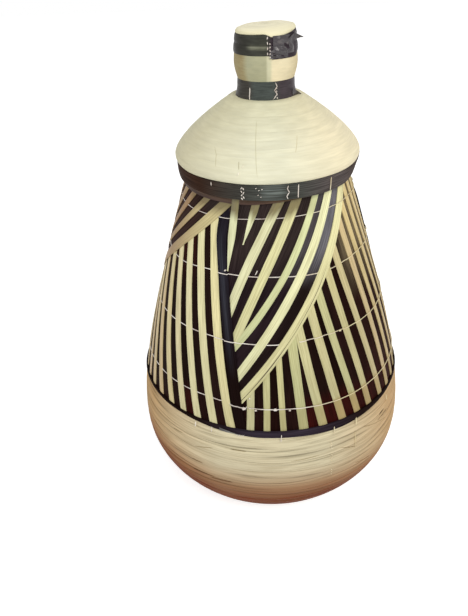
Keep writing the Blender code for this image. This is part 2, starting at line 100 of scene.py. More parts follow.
# Sewing threads round the neck: their heights, and how thick each is; the highest is the finest
THREAD_RADIUS = 0.00042
THREAD_HEIGHTS = (0.1650, 0.2250, 0.2803, 0.3273)
THREAD_SHARES = (1.0, 1.0, 1.0, 0.75)
# Angles between which each thread runs over the pale splints as well as over the dark ones
THREAD_OVER = (((-9.0, 180.0),), ((-26.0, -12.0), (14.0, 180.0)), ((44.0, 180.0),), ((44.0, 180.0),))
# How each thread wanders up and down, in mm, every 30 degrees from -60 on the left to 60 on the right
THREAD_WANDER = (
    (4.0, 4.3, 0.2, -1.6, -0.6),
    (0.3, 0.7, -0.9, 0.8, 0.2),
    (-2.2, 1.5, 0.9, -0.9, 2.2),
    (-2.0, -1.1, 0.7, 1.0, 2.4),
)
# The waist hoop does the same
HOOP_WANDER = (0.6, 0.4, -0.3, -2.2, -2.2)

# Gaps between the bowl's strands: their (angle, height) marks, how wide they are, and their colour
BOWL_CRACKS = (
    (((-45.1, 0.1174), (-42.0, 0.1180), (-39.0, 0.1187)), 0.0007, "#8C7A57"),
    (((-32.5, 0.1108), (-28.0, 0.1140), (-23.8, 0.1167)), 0.0007, "#9A8A67"),
    (((-16.4, 0.1206), (-13.0, 0.1207), (-9.5, 0.1206)), 0.0006, "#958562"),
    (((-34.5, 0.0935), (-31.6, 0.0937), (-28.8, 0.0939)), 0.0007, "#846A49"),
    (((-34.6, 0.0797), (-29.0, 0.0803), (-23.6, 0.0808)), 0.0010, "#6B4730"),
    (((-26.1, 0.0780), (-21.0, 0.0788), (-15.7, 0.0794)), 0.0010, "#69442D"),
    (((7.5, 0.1098), (13.6, 0.1106), (19.8, 0.1114)), 0.0006, "#9C8C6A"),
    (((28.9, 0.1119), (33.0, 0.1085), (37.5, 0.1045)), 0.0006, "#9A8562"),
    (((37.2, 0.0830), (42.0, 0.0806), (47.0, 0.0782)), 0.0007, "#927450"),
    (((50.5, 0.1165), (55.0, 0.1171), (59.9, 0.1176)), 0.0009, "#66533A"),
    (((52.5, 0.1205), (57.0, 0.1222)), 0.0009, "#66533A"),
    (((41.3, 0.1222), (49.0, 0.1160), (57.9, 0.1097)), 0.0006, "#A88F68"),
)

# Seams between the lid's strands, and two strands that stand out pale: marks, lift, thickness and colour
LID_SEAMS = (
    (((-9.9, 0.4004), (-7.4, 0.3820), (-5.4, 0.3640)), -0.0001, 0.0005, "#CDC8A8"),
    (((-38.5, 0.3820), (-34.0, 0.3770), (-31.5, 0.3690)), -0.0001, 0.0005, "#C4BD9C"),
    (((24.4, 0.3900), (18.6, 0.3790)), -0.0001, 0.0005, "#D2C7A2"),
    (((-17.4, 0.3753), (-16.4, 0.3690)), -0.0001, 0.0006, "#B5AE8C"),
    (((-17.0, 0.3650), (-15.8, 0.3685)), 0.0, 0.0014, "#F6F1DE"),
    (((-14.6, 0.3705), (-14.0, 0.3732)), 0.0, 0.0010, "#F2ECD6"),
)

# Knots of the sewing threads: angle, height, radius and lift above the coiled wall
KNOTS = (
    (-10.6, 0.1661, 0.0015, 0.0042),
    (2.1, 0.1663, 0.0014, 0.0042),
    (-5.8, 0.1653, 0.0009, 0.0042),
    (7.9, 0.1650, 0.0009, 0.0042),
    (33.8, 0.2270, 0.0009, 0.0042),
    (-8.3, 0.1762, 0.0006, 0.0042),
    (-23.0, 0.2852, 0.0009, 0.0048),
)
# Stitches across the waist hoop: angle and height of the foot and of the head, and thickness
HOOP_STITCHES = (
    ((-31.8, 0.1350), (-31.5, 0.1415), 0.0008),
    ((-24.2, 0.1352), (-23.9, 0.1420), 0.0008),
    ((4.0, 0.1335), (4.3, 0.1415), 0.0008),
    ((25.8, 0.1310), (26.1, 0.1400), 0.0008),
    ((36.6, 0.1312), (36.9, 0.1395), 0.0011),
    ((58.2, 0.1310), (58.0, 0.1380), 0.0008),
    ((-13.9, 0.1372), (-13.0, 0.1400), 0.0006),
    ((-12.8, 0.1372), (-11.9, 0.1400), 0.0006),
    ((-11.9, 0.1372), (-11.0, 0.1400), 0.0006),
    ((-11.2, 0.1372), (-10.3, 0.1400), 0.0006),
)

# Stripe units round the neck: how far each is turned, and the two that the photograph shows most of
UNIT_TURNS = (0.0, 122.0, 197.5, 273.0)
FRONT_UNIT = 0
LEFT_UNIT = 3
# Uprights of a unit, the angle of the first one's foot and how far one leans, where no table says it
UPRIGHTS = 11
FIRST_FOOT = -8.1
LEAN = 19.0
SLANT_TOP = 0.3400

# Pale uprights of the front unit: angle of the foot, lean, sweep, width and colour
FRONT_UPRIGHTS = (
    (-8.1, 0.0, 0.0, 0.0068, "#D8D3A4"),
    (-1.4, 0.1, 0.0, 0.0059, "#D2CE98"),
    (5.3, 3.8, 0.0, 0.0054, "#D9D39B"),
    (13.5, 8.0, 0.2, 0.0084, "#CFCE98"),
    (21.7, 17.1, 0.7, 0.0083, "#D9D3A0"),
    (30.7, 18.6, 1.2, 0.0079, "#D6CE9C"),
    (38.7, 20.4, 1.8, 0.0071, "#CDCB96"),
    (46.1, 17.7, 2.6, 0.0071, "#CFC693"),
    (54.8, 17.5, 3.5, 0.0071, "#CDBF90"),
    (62.5, 12.5, 4.3, 0.0068, "#D0B98A"),
    (70.1, 12.0, 5.0, 0.0065, "#D3BD84"),
    (77.4, 10.5, 5.5, 0.0062, "#D3BD84"),
    (85.2, 9.5, 6.0, 0.0062, "#D3BD84"),
    (93.2, 8.5, 6.5, 0.0062, "#D3BD84"),
    (101.0, 8.0, 7.0, 0.0062, "#D3BD84"),
)
# The same of the left unit from the fourth on
LEFT_UPRIGHTS = (
    (-71.0, 3.8, 50.2, 0.0070, "#D3BB8C"),
    (-63.3, 14.7, 30.2, 0.0072, "#D8C494"),
    (-55.3, 22.6, 15.6, 0.0074, "#D6BD8E"),
    (-47.1, 25.6, 6.3, 0.0076, "#DFCF9C"),
    (-39.4, 22.7, 7.6, 0.0074, "#E4D8AA"),
    (-31.6, 21.4, 6.0, 0.0075, "#E8E0B0"),
    (-23.9, 20.6, 3.5, 0.0078, "#E8E1B0"),
    (-16.2, 20.0, 0.5, 0.0080, "#ECE2AC"),
)
# Pale slants from the highest to the lowest: start angle and height, rim angle, bend, width and colour
FRONT_SLANTS = (
    (-18.4, 0.2563, 7.0, 0.44, 0.0077, "#DEDDB2"),
    (-15.4, 0.2286, 18.1, 0.37, 0.0077, "#DAD6A2"),
    (-13.8, 0.2252, 31.3, 0.00, 0.0059, "#D0D5A2"),
    (-11.9, 0.2000, 42.6, 0.16, 0.0077, "#E8E7B8"),
    (-8.9, 0.1832, 57.0, 0.11, 0.0083, "#E4DEAA"),
)
# The same of the left unit, whose slants start higher and are thin but for the lowest
LEFT_SLANTS = (
    (-23.0, 0.2760, 6.4, 0.0, 0.0065, "#C3B583"),
    (-22.5, 0.2650, 18.9, 0.0, 0.0065, "#C3B583"),
    (-22.0, 0.2551, 31.4, 0.0, 0.0058, "#B08B62"),
    (-20.6, 0.2466, 45.7, 0.0, 0.0055, "#CFC18E"),
    (-21.0, 0.2290, 61.2, 0.0, 0.0088, "#D2C390"),
)
# Short slants by the black splint: tip angle and height, height of full width, rim angle, lift
WEDGE_WIDTH = 0.0062
WEDGES = (
    (-21.8, 0.2845, 0.3120, -20.3, EDGE_LIFT + 0.0004),
    (-14.2, 0.3068, 0.3330, -7.3, PALE_SLANT_LIFT),
)


def clear_selection():
    """Leave nothing selected, so that the next operator acts on its own piece alone."""
    if bpy.context.object and bpy.context.object.mode != "OBJECT":
        bpy.ops.object.mode_set(mode="OBJECT")
    bpy.ops.object.select_all(action="DESELECT")


def pick(piece):
    """Make one piece the selected and active one."""
    clear_selection()
    piece.select_set(True)
    bpy.context.view_layer.objects.active = piece
    return piece


def ease(value, low, high):
    """How far a value has come from low to high, from 0 to 1."""
    return min(max((value - low) / (high - low), 0.0), 1.0)


def fade(value, low, high):
    """How far a value has yet to go from low to high, from 1 to 0."""
    return 1.0 - ease(value, low, high)


def smooth_step(share):
    """A share from 0 to 1 that starts and ends slowly."""
    return share * share * (3.0 - 2.0 * share)


def at_height(value, z):
    """A value that is one number, or that a function gives by height."""
    return value(z) if callable(value) else value


def blend(first, second, share):
    """Mix two colours, points or other lists of numbers."""
    return [a + (b - a) * share for a, b in zip(first, second)]


def front_angle(angle):
    """The same angle between -180 and 180."""
    return (angle + 180.0) % 360.0 - 180.0


def sideways(angle, low, high):
    """How far an angle lies to one side, from low to high degrees, back to 0 behind the basket."""
    return ease(angle, low, high) * fade(abs(angle), 110.0, 170.0)


@lru_cache(maxsize=None)
def linear(hex_colour):
    """Turn an sRGB hex colour into linear red, green, blue and alpha."""
    channels = [int(hex_colour[i : i + 2], 16) / 255.0 for i in (1, 3, 5)]
    return (*(c / 12.92 if c <= 0.04045 else ((c + 0.055) / 1.055) ** 2.4 for c in channels), 1.0)


def tinted(base, *tints):
    """Lay tints, each a colour and its share, one after another over a base colour."""
    here = linear(base)
    for colour, share in tints:
        here = blend(here, linear(colour), share)
    return here


def shaded(colour, light):
    """The same colour, lighter or darker."""
    return [channel * light for channel in colour[:3]] + [1.0]


def hand_noise(angle, pace, row, seed=0.0):
    """Smooth noise round the basket, without a jump at the back; pace is how fast it changes."""
    turn = math.radians(angle)
    return noise.noise(Vector((math.sin(turn) * pace, math.cos(turn) * pace, row * 1.7 + seed)))


def wander(table, angle):
    """How far something sewn by hand strays from its level at an angle, in metres."""
    angle = front_angle(angle)
    if abs(angle) >= 90.0:
        return 0.0004 * hand_noise(angle, 3.0, 0.0)
    stops = (0.0, *table, 0.0)
    at = (angle + 90.0) / 30.0
    index = min(int(at), len(stops) - 2)
    share = smooth_step(at - index)
    level = stops[index] * (1.0 - share) + stops[index + 1] * share
    return 0.001 * level + 0.0002 * hand_noise(angle, 9.0, 3.0)


# Shape of the basket's outline and the paths on it


def smooth_outline(z):
    """Outer radius of the finished basket at a height."""
    if z < BELLY_HEIGHT:
        drop = (BELLY_HEIGHT - z) / BELLY_HEIGHT
        return BELLY_RADIUS - (BELLY_RADIUS - BASE_RADIUS) * drop ** BOWL_FULLNESS
    rise = min((z - BELLY_HEIGHT) / (RIM - BELLY_HEIGHT), 1.0)
    share = NECK_CURVE_SHARE * rise ** NECK_CURVE + (1.0 - NECK_CURVE_SHARE) * smooth_step(rise)
    return BELLY_RADIUS - (BELLY_RADIUS - RIM_RADIUS) * share


def core_radius(z):
    """Radius of the coiled wall that the splints lie on."""
    return smooth_outline(z) - SKIN


def lid_outline(z):
    """Outer radius of the lid: a rounded lower edge, then the cone."""
    rise = ease(z, LID_SHOULDER + LID_EDGE, WINDING_TOP)
    tuck = fade(z, LID_SHOULDER, LID_SHOULDER + 0.004)
    return LID_RADIUS - (LID_RADIUS - CONE_TOP_RADIUS) * rise ** LID_CURVE - 0.0014 * tuck * tuck


def lift_line(outline, lift):
    """An outline moved outwards."""
    return lambda z: outline(z) + lift


def band_outline(z):
    """Outer face of the lid's black band, which narrows a little downwards."""
    return LID_RADIUS - BAND_INSET - BAND_TAPER * fade(z, LID_SEAT, LID_SHOULDER)


def slope_of(outline, z):
    """Tilt of an outline from upright, in radians."""
    step = 0.001
    return math.atan2(outline(z + step) - outline(z - step), 2.0 * step)


def round_point(angle, radius, z):
    """Point at an angle, a radius and a height."""
    turn = math.radians(angle)
    return Vector((radius * math.sin(turn), -radius * math.cos(turn), z))


def angle_of(point):
    """Angle of a point round the basket."""
    return math.degrees(math.atan2(point.x, -point.y))


def on_wall(angle, z, lift):
    """Point at an angle, a height, and a lift above the coiled wall."""
    return round_point(angle, core_radius(z) + lift, z)


def across(width, path, z):
    """Half of a splint's width as an angle, measured level at a height."""
    step = 0.001
    lean = math.radians(path(z + step) - path(z - step)) / (2.0 * step) * core_radius(z)
    return math.degrees(width / 2.0 / core_radius(z)) * math.sqrt(1.0 + lean * lean)


def crossing(side, line, low, high):
    """Height between low and high where a splint's side meets a line."""
    at_low = side(low) - line(low)
    if at_low * (side(high) - line(high)) > 0.0:
        return high
    for _ in range(30):
        middle = (low + high) / 2.0
        if at_low * (side(middle) - line(middle)) > 0.0:
            low = middle
        else:
            high = middle
    return (low + high) / 2.0


def neck_share(z):
    """Share of the striped neck's height, 0 at the waist and 1 at the rim."""
    return (z - WAIST) / (RIM - WAIST)


def edge_path(z):
    """Angle of the wide black splint: it leans more and more, then stands up by the rim."""
    share = min(neck_share(z), 0.83)
    return -11.87 - 13.88 * share - 6.35 * share * share


def upright_path(foot, lean, sweep):
    """Path of an upright splint from its foot at the waist."""

    def path(z):
        share = neck_share(z)
        return foot - lean * share - sweep * share * abs(share)

    return path


def slant_path(start, start_z, end, bend):
    """Path of a slanted splint from the black splint up to the rim."""

    def path(z):
        along = (z - start_z) / (SLANT_TOP - start_z)
        return start + (end - start) * ((1.0 - bend) * along + bend * along * abs(along))

    return path


def sides_of(path, width):
    """Left and right side of a splint of an even width."""
    return (lambda z: path(z) - across(width, path, z), lambda z: path(z) + across(width, path, z))


def part_of(sides, left, right):
    """Sides of a strip that takes a share of another's width, each share a number or set by height."""

    def side(share):
        return lambda z: sides[0](z) + (sides[1](z) - sides[0](z)) * at_height(share, z)

    return (side(left), side(right))


def degrees_wide(size, z):
    """A length round the neck as an angle."""
    return math.degrees(size / core_radius(z))


def between(left_piece, right_piece):
    """Sides of a dark splint that fills a gap and tucks in under the pale ones beside it."""
    return (
        lambda z: left_piece[1](z) - degrees_wide(TUCK, z),
        lambda z: right_piece[0](z) + degrees_wide(TUCK, z),
    )


# Making pieces


def laid_sheet(columns, rows, place):
    """Bend a gridded plane into shape: place gives a point, its grain coordinates and its stain with painted
    light.
    """
    clear_selection()
    bpy.ops.mesh.primitive_grid_add(x_subdivisions=columns, y_subdivisions=rows, size=1.0)
    piece = bpy.context.object
    mesh = piece.data
    placed = []
    for vert in mesh.vertices:
        point, grain, stain_and_light = place(vert.co.x + 0.5, vert.co.y + 0.5)
        vert.co = point
        placed.append((grain, stain_and_light))
    layer = mesh.uv_layers.active.data
    for loop in mesh.loops:
        layer[loop.index].uv = placed[loop.vertex_index][0]
    stain_and_light_layer = mesh.attributes.new("stain_and_light", "FLOAT_COLOR", "POINT")
    for index, (_, stain_and_light) in enumerate(placed):
        stain_and_light_layer.data[index].color = stain_and_light
    return piece


def close_seams(piece):
    """Weld the edges that meet and turn all faces outwards."""
    pick(piece)
    bpy.ops.object.mode_set(mode="EDIT")
    bpy.ops.mesh.select_all(action="SELECT")
    bpy.ops.mesh.remove_doubles(threshold=0.00001)
    bpy.ops.mesh.normals_make_consistent(inside=False)
    bpy.ops.object.mode_set(mode="OBJECT")
    return piece


def named(piece, name):
    """Name a piece and its mesh."""
    piece.name = piece.data.name = name
    return piece


def joined(pieces, name):
    """Join pieces into one and name it."""
    clear_selection()
    for piece in pieces:
        piece.select_set(True)
    bpy.context.view_layer.objects.active = pieces[0]
    if len(pieces) > 1:
        bpy.ops.object.join()
    return named(bpy.context.object, name)


def add_circle(vertices, radius, location, rotation=(0.0, 0.0, 0.0)):
    """Add a circle, its place and turn taken up by its points."""
    clear_selection()
    bpy.ops.mesh.primitive_circle_add(vertices=vertices, radius=radius, location=location, rotation=rotation)
    bpy.ops.object.transform_apply(location=True, rotation=True, scale=True)
    return bpy.context.object


def smooth_piece(piece, corner=40.0):
    """Smooth a piece's faces and keep its sharp corners."""
    pick(piece)
    bpy.ops.object.shade_smooth_by_angle(angle=math.radians(corner))
    return piece


def thicken(piece, thickness):
    """Give a laid sheet its thickness inwards."""
    pick(piece)
    solid = piece.modifiers.new("thickness", "SOLIDIFY")
    solid.thickness = thickness
    solid.offset = -1.0
    bpy.ops.object.modifier_apply(modifier=solid.name)
    return smooth_piece(piece)


def finish_piece(piece, material, body, slot, *nodes):
    """Give a finished piece its material and its place in the CAD model."""
    piece.data.materials.clear()
    piece.data.materials.append(material)
    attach(piece, body)
    if nodes:
        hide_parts(*nodes)
    return piece


def finish_set(pieces, name, look, slot, node, thickness=SPLINT_THICKNESS):
    """Join the laid splints of one set, thicken them and put them in place of their CAD node."""
    finish_piece(thicken(joined(pieces, name), thickness), look, "basket", slot, node)


def finish_lines(pieces, name, look, body, slot):
    """Join stitches, seams or cracks, which stand for no CAD node."""
    finish_piece(smooth_piece(joined(pieces, name), 60.0), look, body, slot)


# Materials


def add_node(tree, kind, links=None, stops=None, **settings):
    """Add a node to a tree, set it, and link or fill its inputs."""
    node = tree.nodes.new(kind)
    for key, value in settings.items():
        setattr(node, key, value)
    for key, value in (links or {}).items():
        if isinstance(value, bpy.types.NodeSocket):
            tree.links.new(value, node.inputs[key])
        else:
            node.inputs[key].default_value = value
    for index, (position, colour) in enumerate(stops or ()):
        ramp = node.color_ramp.elements
        element = ramp[index] if index < len(ramp) else ramp.new(position)
        element.position = position
        element.color = linear(colour)
    return node


def add_noise(tree, place, scale, detail):
    """Noise of a scale, from 0 to 1."""
    links = {"Vector": place, "Scale": scale, "Detail": detail}
    return add_node(tree, "ShaderNodeTexNoise", links).outputs["Fac"]


def stretched(tree, place, scale):
    """A place with each axis scaled on its own."""
    return add_node(tree, "ShaderNodeVectorMath", {0: place, 1: scale}, operation="MULTIPLY").outputs[0]


def mixed(tree, factor, first, second, way="MIX"):
    """Mix of two colours."""
    links = {"Factor": factor, 6: first, 7: second}
    return add_node(tree, "ShaderNodeMix", links, data_type="RGBA", blend_type=way).outputs[2]


def ramped(tree, value, *stops):
    """Colour that a value has between stops."""
    return add_node(tree, "ShaderNodeValToRGB", {"Fac": value}, stops).outputs["Color"]


def ranged(tree, value, low, high, to_low, to_high):
    """Stretch a value from one range to another."""
    settings = {"Value": value, "From Min": low, "From Max": high, "To Min": to_low, "To Max": to_high}
    return add_node(tree, "ShaderNodeMapRange", settings).outputs[0]


def new_material(name, **constants):
    """Start a material: its node tree and its shader, with the shader's constant values."""
    material = bpy.data.materials.new(name)
    material.use_nodes = True
    tree = material.node_tree
    shader = tree.nodes["Principled BSDF"]
    for key, value in constants.items():
        shader.inputs[key.replace("_", " ")].default_value = value
    return material, tree, shader


def finish_shader(tree, shader, colour, height, strength, distance):
    """Link a shader's colour, and its relief as a bump of a real height."""
    tree.links.new(colour, shader.inputs["Base Color"])
    bump = add_node(tree, "ShaderNodeBump", {"Height": height, "Strength": strength, "Distance": distance})
    tree.links.new(bump.outputs["Normal"], shader.inputs["Normal"])


def grain_noise(tree, across_step, along_step, detail):
    """Noise stretched along the fibre, from the real size of one step across and along it."""
    place = add_node(tree, "ShaderNodeUVMap").outputs["UV"]
    return add_noise(tree, stretched(tree, place, (1.0 / across_step, 1.0 / along_step, 1.0)), 1.0, detail)


# Real length of a fibre line, width and length of a patch, and widths of a fine and a coarse fibre line
FIBRE_LENGTH = 0.03
PATCH_SIZE = (0.006, 0.04)
FINE_FIBRE = 0.0009
COARSE_FIBRE = 0.0014


def splint_material(name, roughness, gloss, fibre, fibre_share, patchy, relief, fibre_step=FINE_FIBRE):
    """Split plant stem: its own stain with painted light, fine fibre lines along it, and patches lighter or
    darker.
    """
    material, tree, shader = new_material(name, Specular_IOR_Level=gloss)
    stain_and_light = add_node(tree, "ShaderNodeAttribute", attribute_name="stain_and_light").outputs["Color"]
    fine = grain_noise(tree, fibre_step, FIBRE_LENGTH, 3.0)
    broad = grain_noise(tree, *PATCH_SIZE, 2.0)
    light = ranged(tree, broad, 0.28, 0.72, 1.0 - patchy, 1.0 + patchy * 0.6)
    lines = ranged(tree, fine, 0.38, 0.58, fibre_share, 0.0)
    rough = ranged(tree, fine, 0.3, 0.7, roughness + 0.1, roughness - 0.06)
    colour = mixed(tree, lines, mixed(tree, 1.0, stain_and_light, light, "MULTIPLY"), linear(fibre))
    finish_shader(tree, shader, colour, fine, 0.5, relief)
    tree.links.new(rough, shader.inputs["Roughness"])
    return material


def thread_material():
    """Bleached cotton sewing thread: matt, a little soiled and yellowed, with the twist of its plies."""
    material, tree, shader = new_material("bleached_cotton_thread", Roughness=0.85, Sheen_Weight=0.2)
    place = add_node(tree, "ShaderNodeTexCoord").outputs["Object"]
    twist = add_noise(tree, place, 900.0, 2.0)
    clean = ramped(tree, add_noise(tree, place, 70.0, 2.0), (0.3, "#BFB0A6"), (0.62, "#EDE6DD"))
    side = add_node(tree, "ShaderNodeSeparateXYZ", {"Vector": place}).outputs["X"]
    yellowed = mixed(tree, ranged(tree, side, 0.02, 0.07, 0.0, 0.75), clean, linear("#DCCB92"))
    finish_shader(tree, shader, yellowed, twist, 0.6, 0.0003)
    return material


def coil_material():
    """Bundle of grass that the coils are made of: dull straw brown with level streaks."""
    material, tree, shader = new_material("coiled_grass_bundle", Roughness=0.8, Specular_IOR_Level=0.25)
    place = add_node(tree, "ShaderNodeTexCoord").outputs["Object"]
    streak = add_noise(tree, stretched(tree, place, (40.0, 40.0, 900.0)), 1.0, 3.0)
    colour = ramped(tree, streak, (0.3, "#6E5634"), (0.5, "#A48A58"), (0.7, "#C6AF7C"))
    finish_shader(tree, shader, colour, streak, 0.6, 0.0006)
    return material


# Split undyed stem, satin, with olive fibre lines
straw = splint_material("split_straw_splint", 0.5, 0.35, "#8B8150", 0.40, 0.10, 0.0003)
# The same stem dyed purple black, and the black strips of the hoop, band and edges: they hardly shine
dyed = splint_material("dyed_dark_splint", 0.6, 0.02, "#080302", 0.5, 0.2, 0.0002)
# Wide strip dyed black that wraps the knob, smoother, with a soft grey sheen
black = splint_material("black_dyed_splint", 0.34, 0.07, "#14100F", 0.3, 0.15, 0.00015)
# Loose ends of the black strip, crushed and so much shinier
crushed = splint_material("crushed_black_splint", 0.24, 0.6, "#14100F", 0.3, 0.15, 0.0003)
# Undyed strips wound round the bowl, dry and matt
bowl_fibre = splint_material("bowl_wound_splint", 0.65, 0.08, "#84714F", 0.30, 0.09, 0.0006, COARSE_FIBRE)
# Scraped pale strips of the lid, smooth and even
lid_fibre = splint_material("lid_wound_splint", 0.62, 0.25, "#C6BF9A", 0.17, 0.09, 0.0002, COARSE_FIBRE)
# Brown unscraped strip under the lid
brown = splint_material("brown_hoop_splint", 0.6, 0.2, "#2E1E1A", 0.4, 0.15, 0.0003)
coil = coil_material()
cotton = thread_material()


# Neck


# Every splint laid so far, which the threads have to pass over or under
LAID = []

# Colours that age and light give the splints in places
SIDE_TAN = "#CDA67E"
# Painted shade below the lowest thread, warmed on the right by a painted red reflection
FOOT_SHADE_REFLECTION_TAN = "#B4935A"
RIM_TAN = "#8E6238"
# Painted shade below the lowest thread, olive at the front
FOOT_SHADE_OLIVE = "#B5AB76"
# Frayed fibres by the rim with painted shade between them
FRAYED_AND_SHADE_OLIVE = "#5E5030"
MAROON = "#360D0B"
RED_BROWN = "#330F0A"
DARK_RED = "#2B0D07"
GAP_OLIVE = "#85765C"
GREY_SHEEN = "#76747A"
# Painted brown sheen high up on the dark slants
SHEEN_BROWN = "#4A403A"


# Each stain, with its painted light and shade, gives a colour from the height, the angle from the front and
# the share across the piece


def pale_stain_and_light(base, frayed=False):
    """Stain of a pale splint with painted light: browner at the sides, painted shade with a painted red
    reflection at the foot, frayed by the rim with painted shade between the fibres, painted shade lower down
    and along its edges, and painted light high on the right.
    """

    def stain_and_light(z, angle, u):
        tan = 0.55 - (0.35 if angle > 0.0 else 0.48) * ease(z, 0.16, 0.25)
        foot = ease(THREAD_HEIGHTS[0] - z, -0.001, 0.003)
        tints = [(SIDE_TAN, tan * ease(abs(angle), 48.0, 82.0))]
        # Painted shade below the lowest thread: olive at the front, tan with a painted red reflection on the
        # right
        tints.append((FOOT_SHADE_OLIVE, 0.6 * foot * sideways(angle, -12.0, 4.0)))
        tints.append((FOOT_SHADE_REFLECTION_TAN, 0.7 * foot * sideways(angle, 16.0, 30.0)))
        # Frayed tops by the rim: olive fibres with painted shade between them
        if frayed and abs(angle) < 60.0:
            strand = 0.004 * noise.noise(Vector((u * 9.0, angle * 0.03, 4.0)))
            tints.append((FRAYED_AND_SHADE_OLIVE, 0.9 * ease(z + strand, 0.3260, 0.3340) * fade(angle, 20.0, 34.0)))
        if frayed:
            tints.append((RIM_TAN, 0.85 * sideways(-angle, 40.0, 72.0)))
        # Painted shade lower down, most at the front, painted light high up on the right, and painted shade
        # along both edges
        front = fade(abs(angle - 6.0), 20.0, 60.0)
        light = 1.0 - (0.13 + 0.11 * front) * fade(z, 0.17, 0.28)
        light += 0.20 * ease(z, 0.25, 0.32) * sideways(angle, 4.0, 24.0)
        light *= 1.0 - 0.10 * abs(2.0 * u - 1.0) ** 4
        return shaded(tinted(base, *tints), light)

    return stain_and_light


def dark_stain(base, other, luck, foot_share=0.0):
    """Stain of a dark splint: some are maroon at the foot, and the far sides are redder."""

    def stain_and_light(z, angle, u):
        gap = ease(z, 0.245, 0.295) * ease(angle, 42.0, 48.0) * fade(angle, 80.0, 110.0)
        return tinted(
            base,
            (other, luck),
            (MAROON, foot_share * ease(THREAD_HEIGHTS[0] + 0.012 - z, 0.0, 0.016)),
            (DARK_RED, 0.7 * sideways(angle, 30.0, 55.0)),
            (GAP_OLIVE, 0.8 * gap),
            (RED_BROWN, 0.8 * ease(z, 0.255, 0.285) * sideways(-angle, 38.0, 50.0)),
        )

    return stain_and_light


def sheen_stain(stain_and_light, sheen_colour, strength):
    """The same colours with a painted sheen a little high up."""
    return lambda z, angle, u: blend(stain_and_light(z, angle, u), linear(sheen_colour), strength * ease(z, 0.270, 0.300))


def edge_stain_and_sheen(z, angle, u):
    """Colour of the wide black splint: a painted bluish sheen up high at the front, with a painted highlight
    streak along its middle.
    """
    front = fade(abs(angle), 34.0, 60.0)
    # Painted highlight streak along the middle, and a painted bluish sheen up high, both at the front
    streak = max(1.0 - abs(2.0 * u - 0.9), 0.0) ** 2 * 0.5 * ease(z, 0.19, 0.25) * fade(z, 0.30, 0.32)
    return tinted("#170B09", ("#221E26", ease(z, 0.19, 0.28) * front), ("#51545F", streak * front))


def edge_lift(z):
    """Lift of the black splint: it dips under the waist hoop and under the last slant by the rim."""
    foot = ease(z, WAIST + 0.002, WAIST + 0.014)
    head = fade(z, 0.316, 0.330)
    return EDGE_FOOT_LIFT + (EDGE_LIFT - EDGE_FOOT_LIFT) * min(foot, head)


def lay_splint(unit, sides, lows, highs, lift, stain_and_light, columns=4, rows=26, pale=True):
    """Lay one flat splint on the neck, a little crowned across and not quite even in width."""
    turn = UNIT_TURNS[unit]
    luck = random.Random(round(sides[0](0.2) * 100) + 7919 * unit)
    start = luck.uniform(0.0, 3.0)
    wobble = luck.uniform(0.0, 50.0)

    def place(u, v):
        low = lows[0] * (1.0 - u) + lows[1] * u
        high = highs[0] * (1.0 - u) + highs[1] * u
        z = low + (high - low) * v
        left, right = sides[0](z), sides[1](z)
        drift = degrees_wide(0.0003, z) * noise.noise(Vector((z * 28.0, wobble, 0.0)))
        swell = 1.0 + 0.05 * noise.noise(Vector((z * 45.0, wobble + 9.0, 0.0)))
        angle = (left + right) / 2.0 + (right - left) * (u - 0.5) * swell + drift + turn
        height = at_height(lift, z) + CROWN * (1.0 - abs(2.0 * u - 1.0) ** 2.5)
        width = math.radians(right - left) * core_radius(z)
        grain = ((u - 0.5) * width, z + start)
        return on_wall(angle, z, height), grain, stain_and_light(z, front_angle(angle), u)

    LAID.append((pale, turn, sides, lows, highs, lift))
    return laid_sheet(columns, rows, place)


def unit_span(unit):
    """Degrees from one stripe unit to the next."""
    return (UNIT_TURNS[(unit + 1) % len(UNIT_TURNS)] - UNIT_TURNS[unit]) % 360.0


def pale_upright_sets(unit):
    """Sides and colours of a unit's pale uprights."""
    luck = random.Random(40 + unit)
    count = len(FRONT_UPRIGHTS) if unit == FRONT_UNIT else UPRIGHTS
    spacing = unit_span(unit) / count
    sets = []
    for index in range(count):
        foot = FIRST_FOOT + spacing * index
        lean, sweep, width = LEAN * min(1.0, (index / 4.5) ** 2), 0.0, 0.0071
        colour = luck.choice(("#D8CB98", "#D2C48E", "#DDD09C", "#CFC28A"))
        if unit == FRONT_UNIT:
            foot, lean, sweep, width, colour = FRONT_UPRIGHTS[index]
        elif unit == LEFT_UNIT and index >= 3:
            foot, lean, sweep, width, colour = LEFT_UPRIGHTS[index - 3]
            foot -= UNIT_TURNS[LEFT_UNIT] - 360.0
        elif unit == LEFT_UNIT:
            lean, sweep = 2.0, 50.0
        else:
            foot += luck.uniform(-0.9, 0.9)
            lean += luck.uniform(-1.5, 1.5)
            width += luck.uniform(-0.0010, 0.0008)
        sets.append((sides_of(upright_path(foot, lean, sweep), width), colour))
    return sets


def slant_sets(unit):
    """Paths, sides and colours of a unit's long pale slants, from the highest to the lowest."""
    luck = random.Random(70 + unit)
    sets = []
    for start, start_z, end, bend, width, colour in LEFT_SLANTS if unit == LEFT_UNIT else FRONT_SLANTS:
        if unit not in (FRONT_UNIT, LEFT_UNIT):
            end += luck.uniform(-1.5, 1.5)
            width += luck.uniform(-0.0010, 0.0006)
            colour = luck.choice(("#D8CE9A", "#D2C890", "#CFC488"))
        path = slant_path(start, start_z, end, bend)
        sets.append((path, sides_of(path, width), colour))
    return sets


def wedge_sides(path, width, tip_z, full_z):
    """Sides of a short slant that narrows to a point at its lower end."""

    def half(z):
        return across(width, path, z) * max(ease(z, tip_z, full_z), 0.12) ** 0.8

    return (lambda z: path(z) - half(z), lambda z: path(z) + half(z))


def maroon_share(unit, middle, luck):
    """How maroon a gap's foot is: strongly at the front right and in one gap at the left, by luck behind."""
    share = luck.choice((0.1, 0.4, 0.95))
    angle = front_angle(middle + UNIT_TURNS[unit])
    if unit == FRONT_UNIT:
        return 0.95 if angle > 17.0 else 0.1
    if unit == LEFT_UNIT:
        return 0.8 if abs(angle + 36.0) < 4.0 else 0.1
    return share


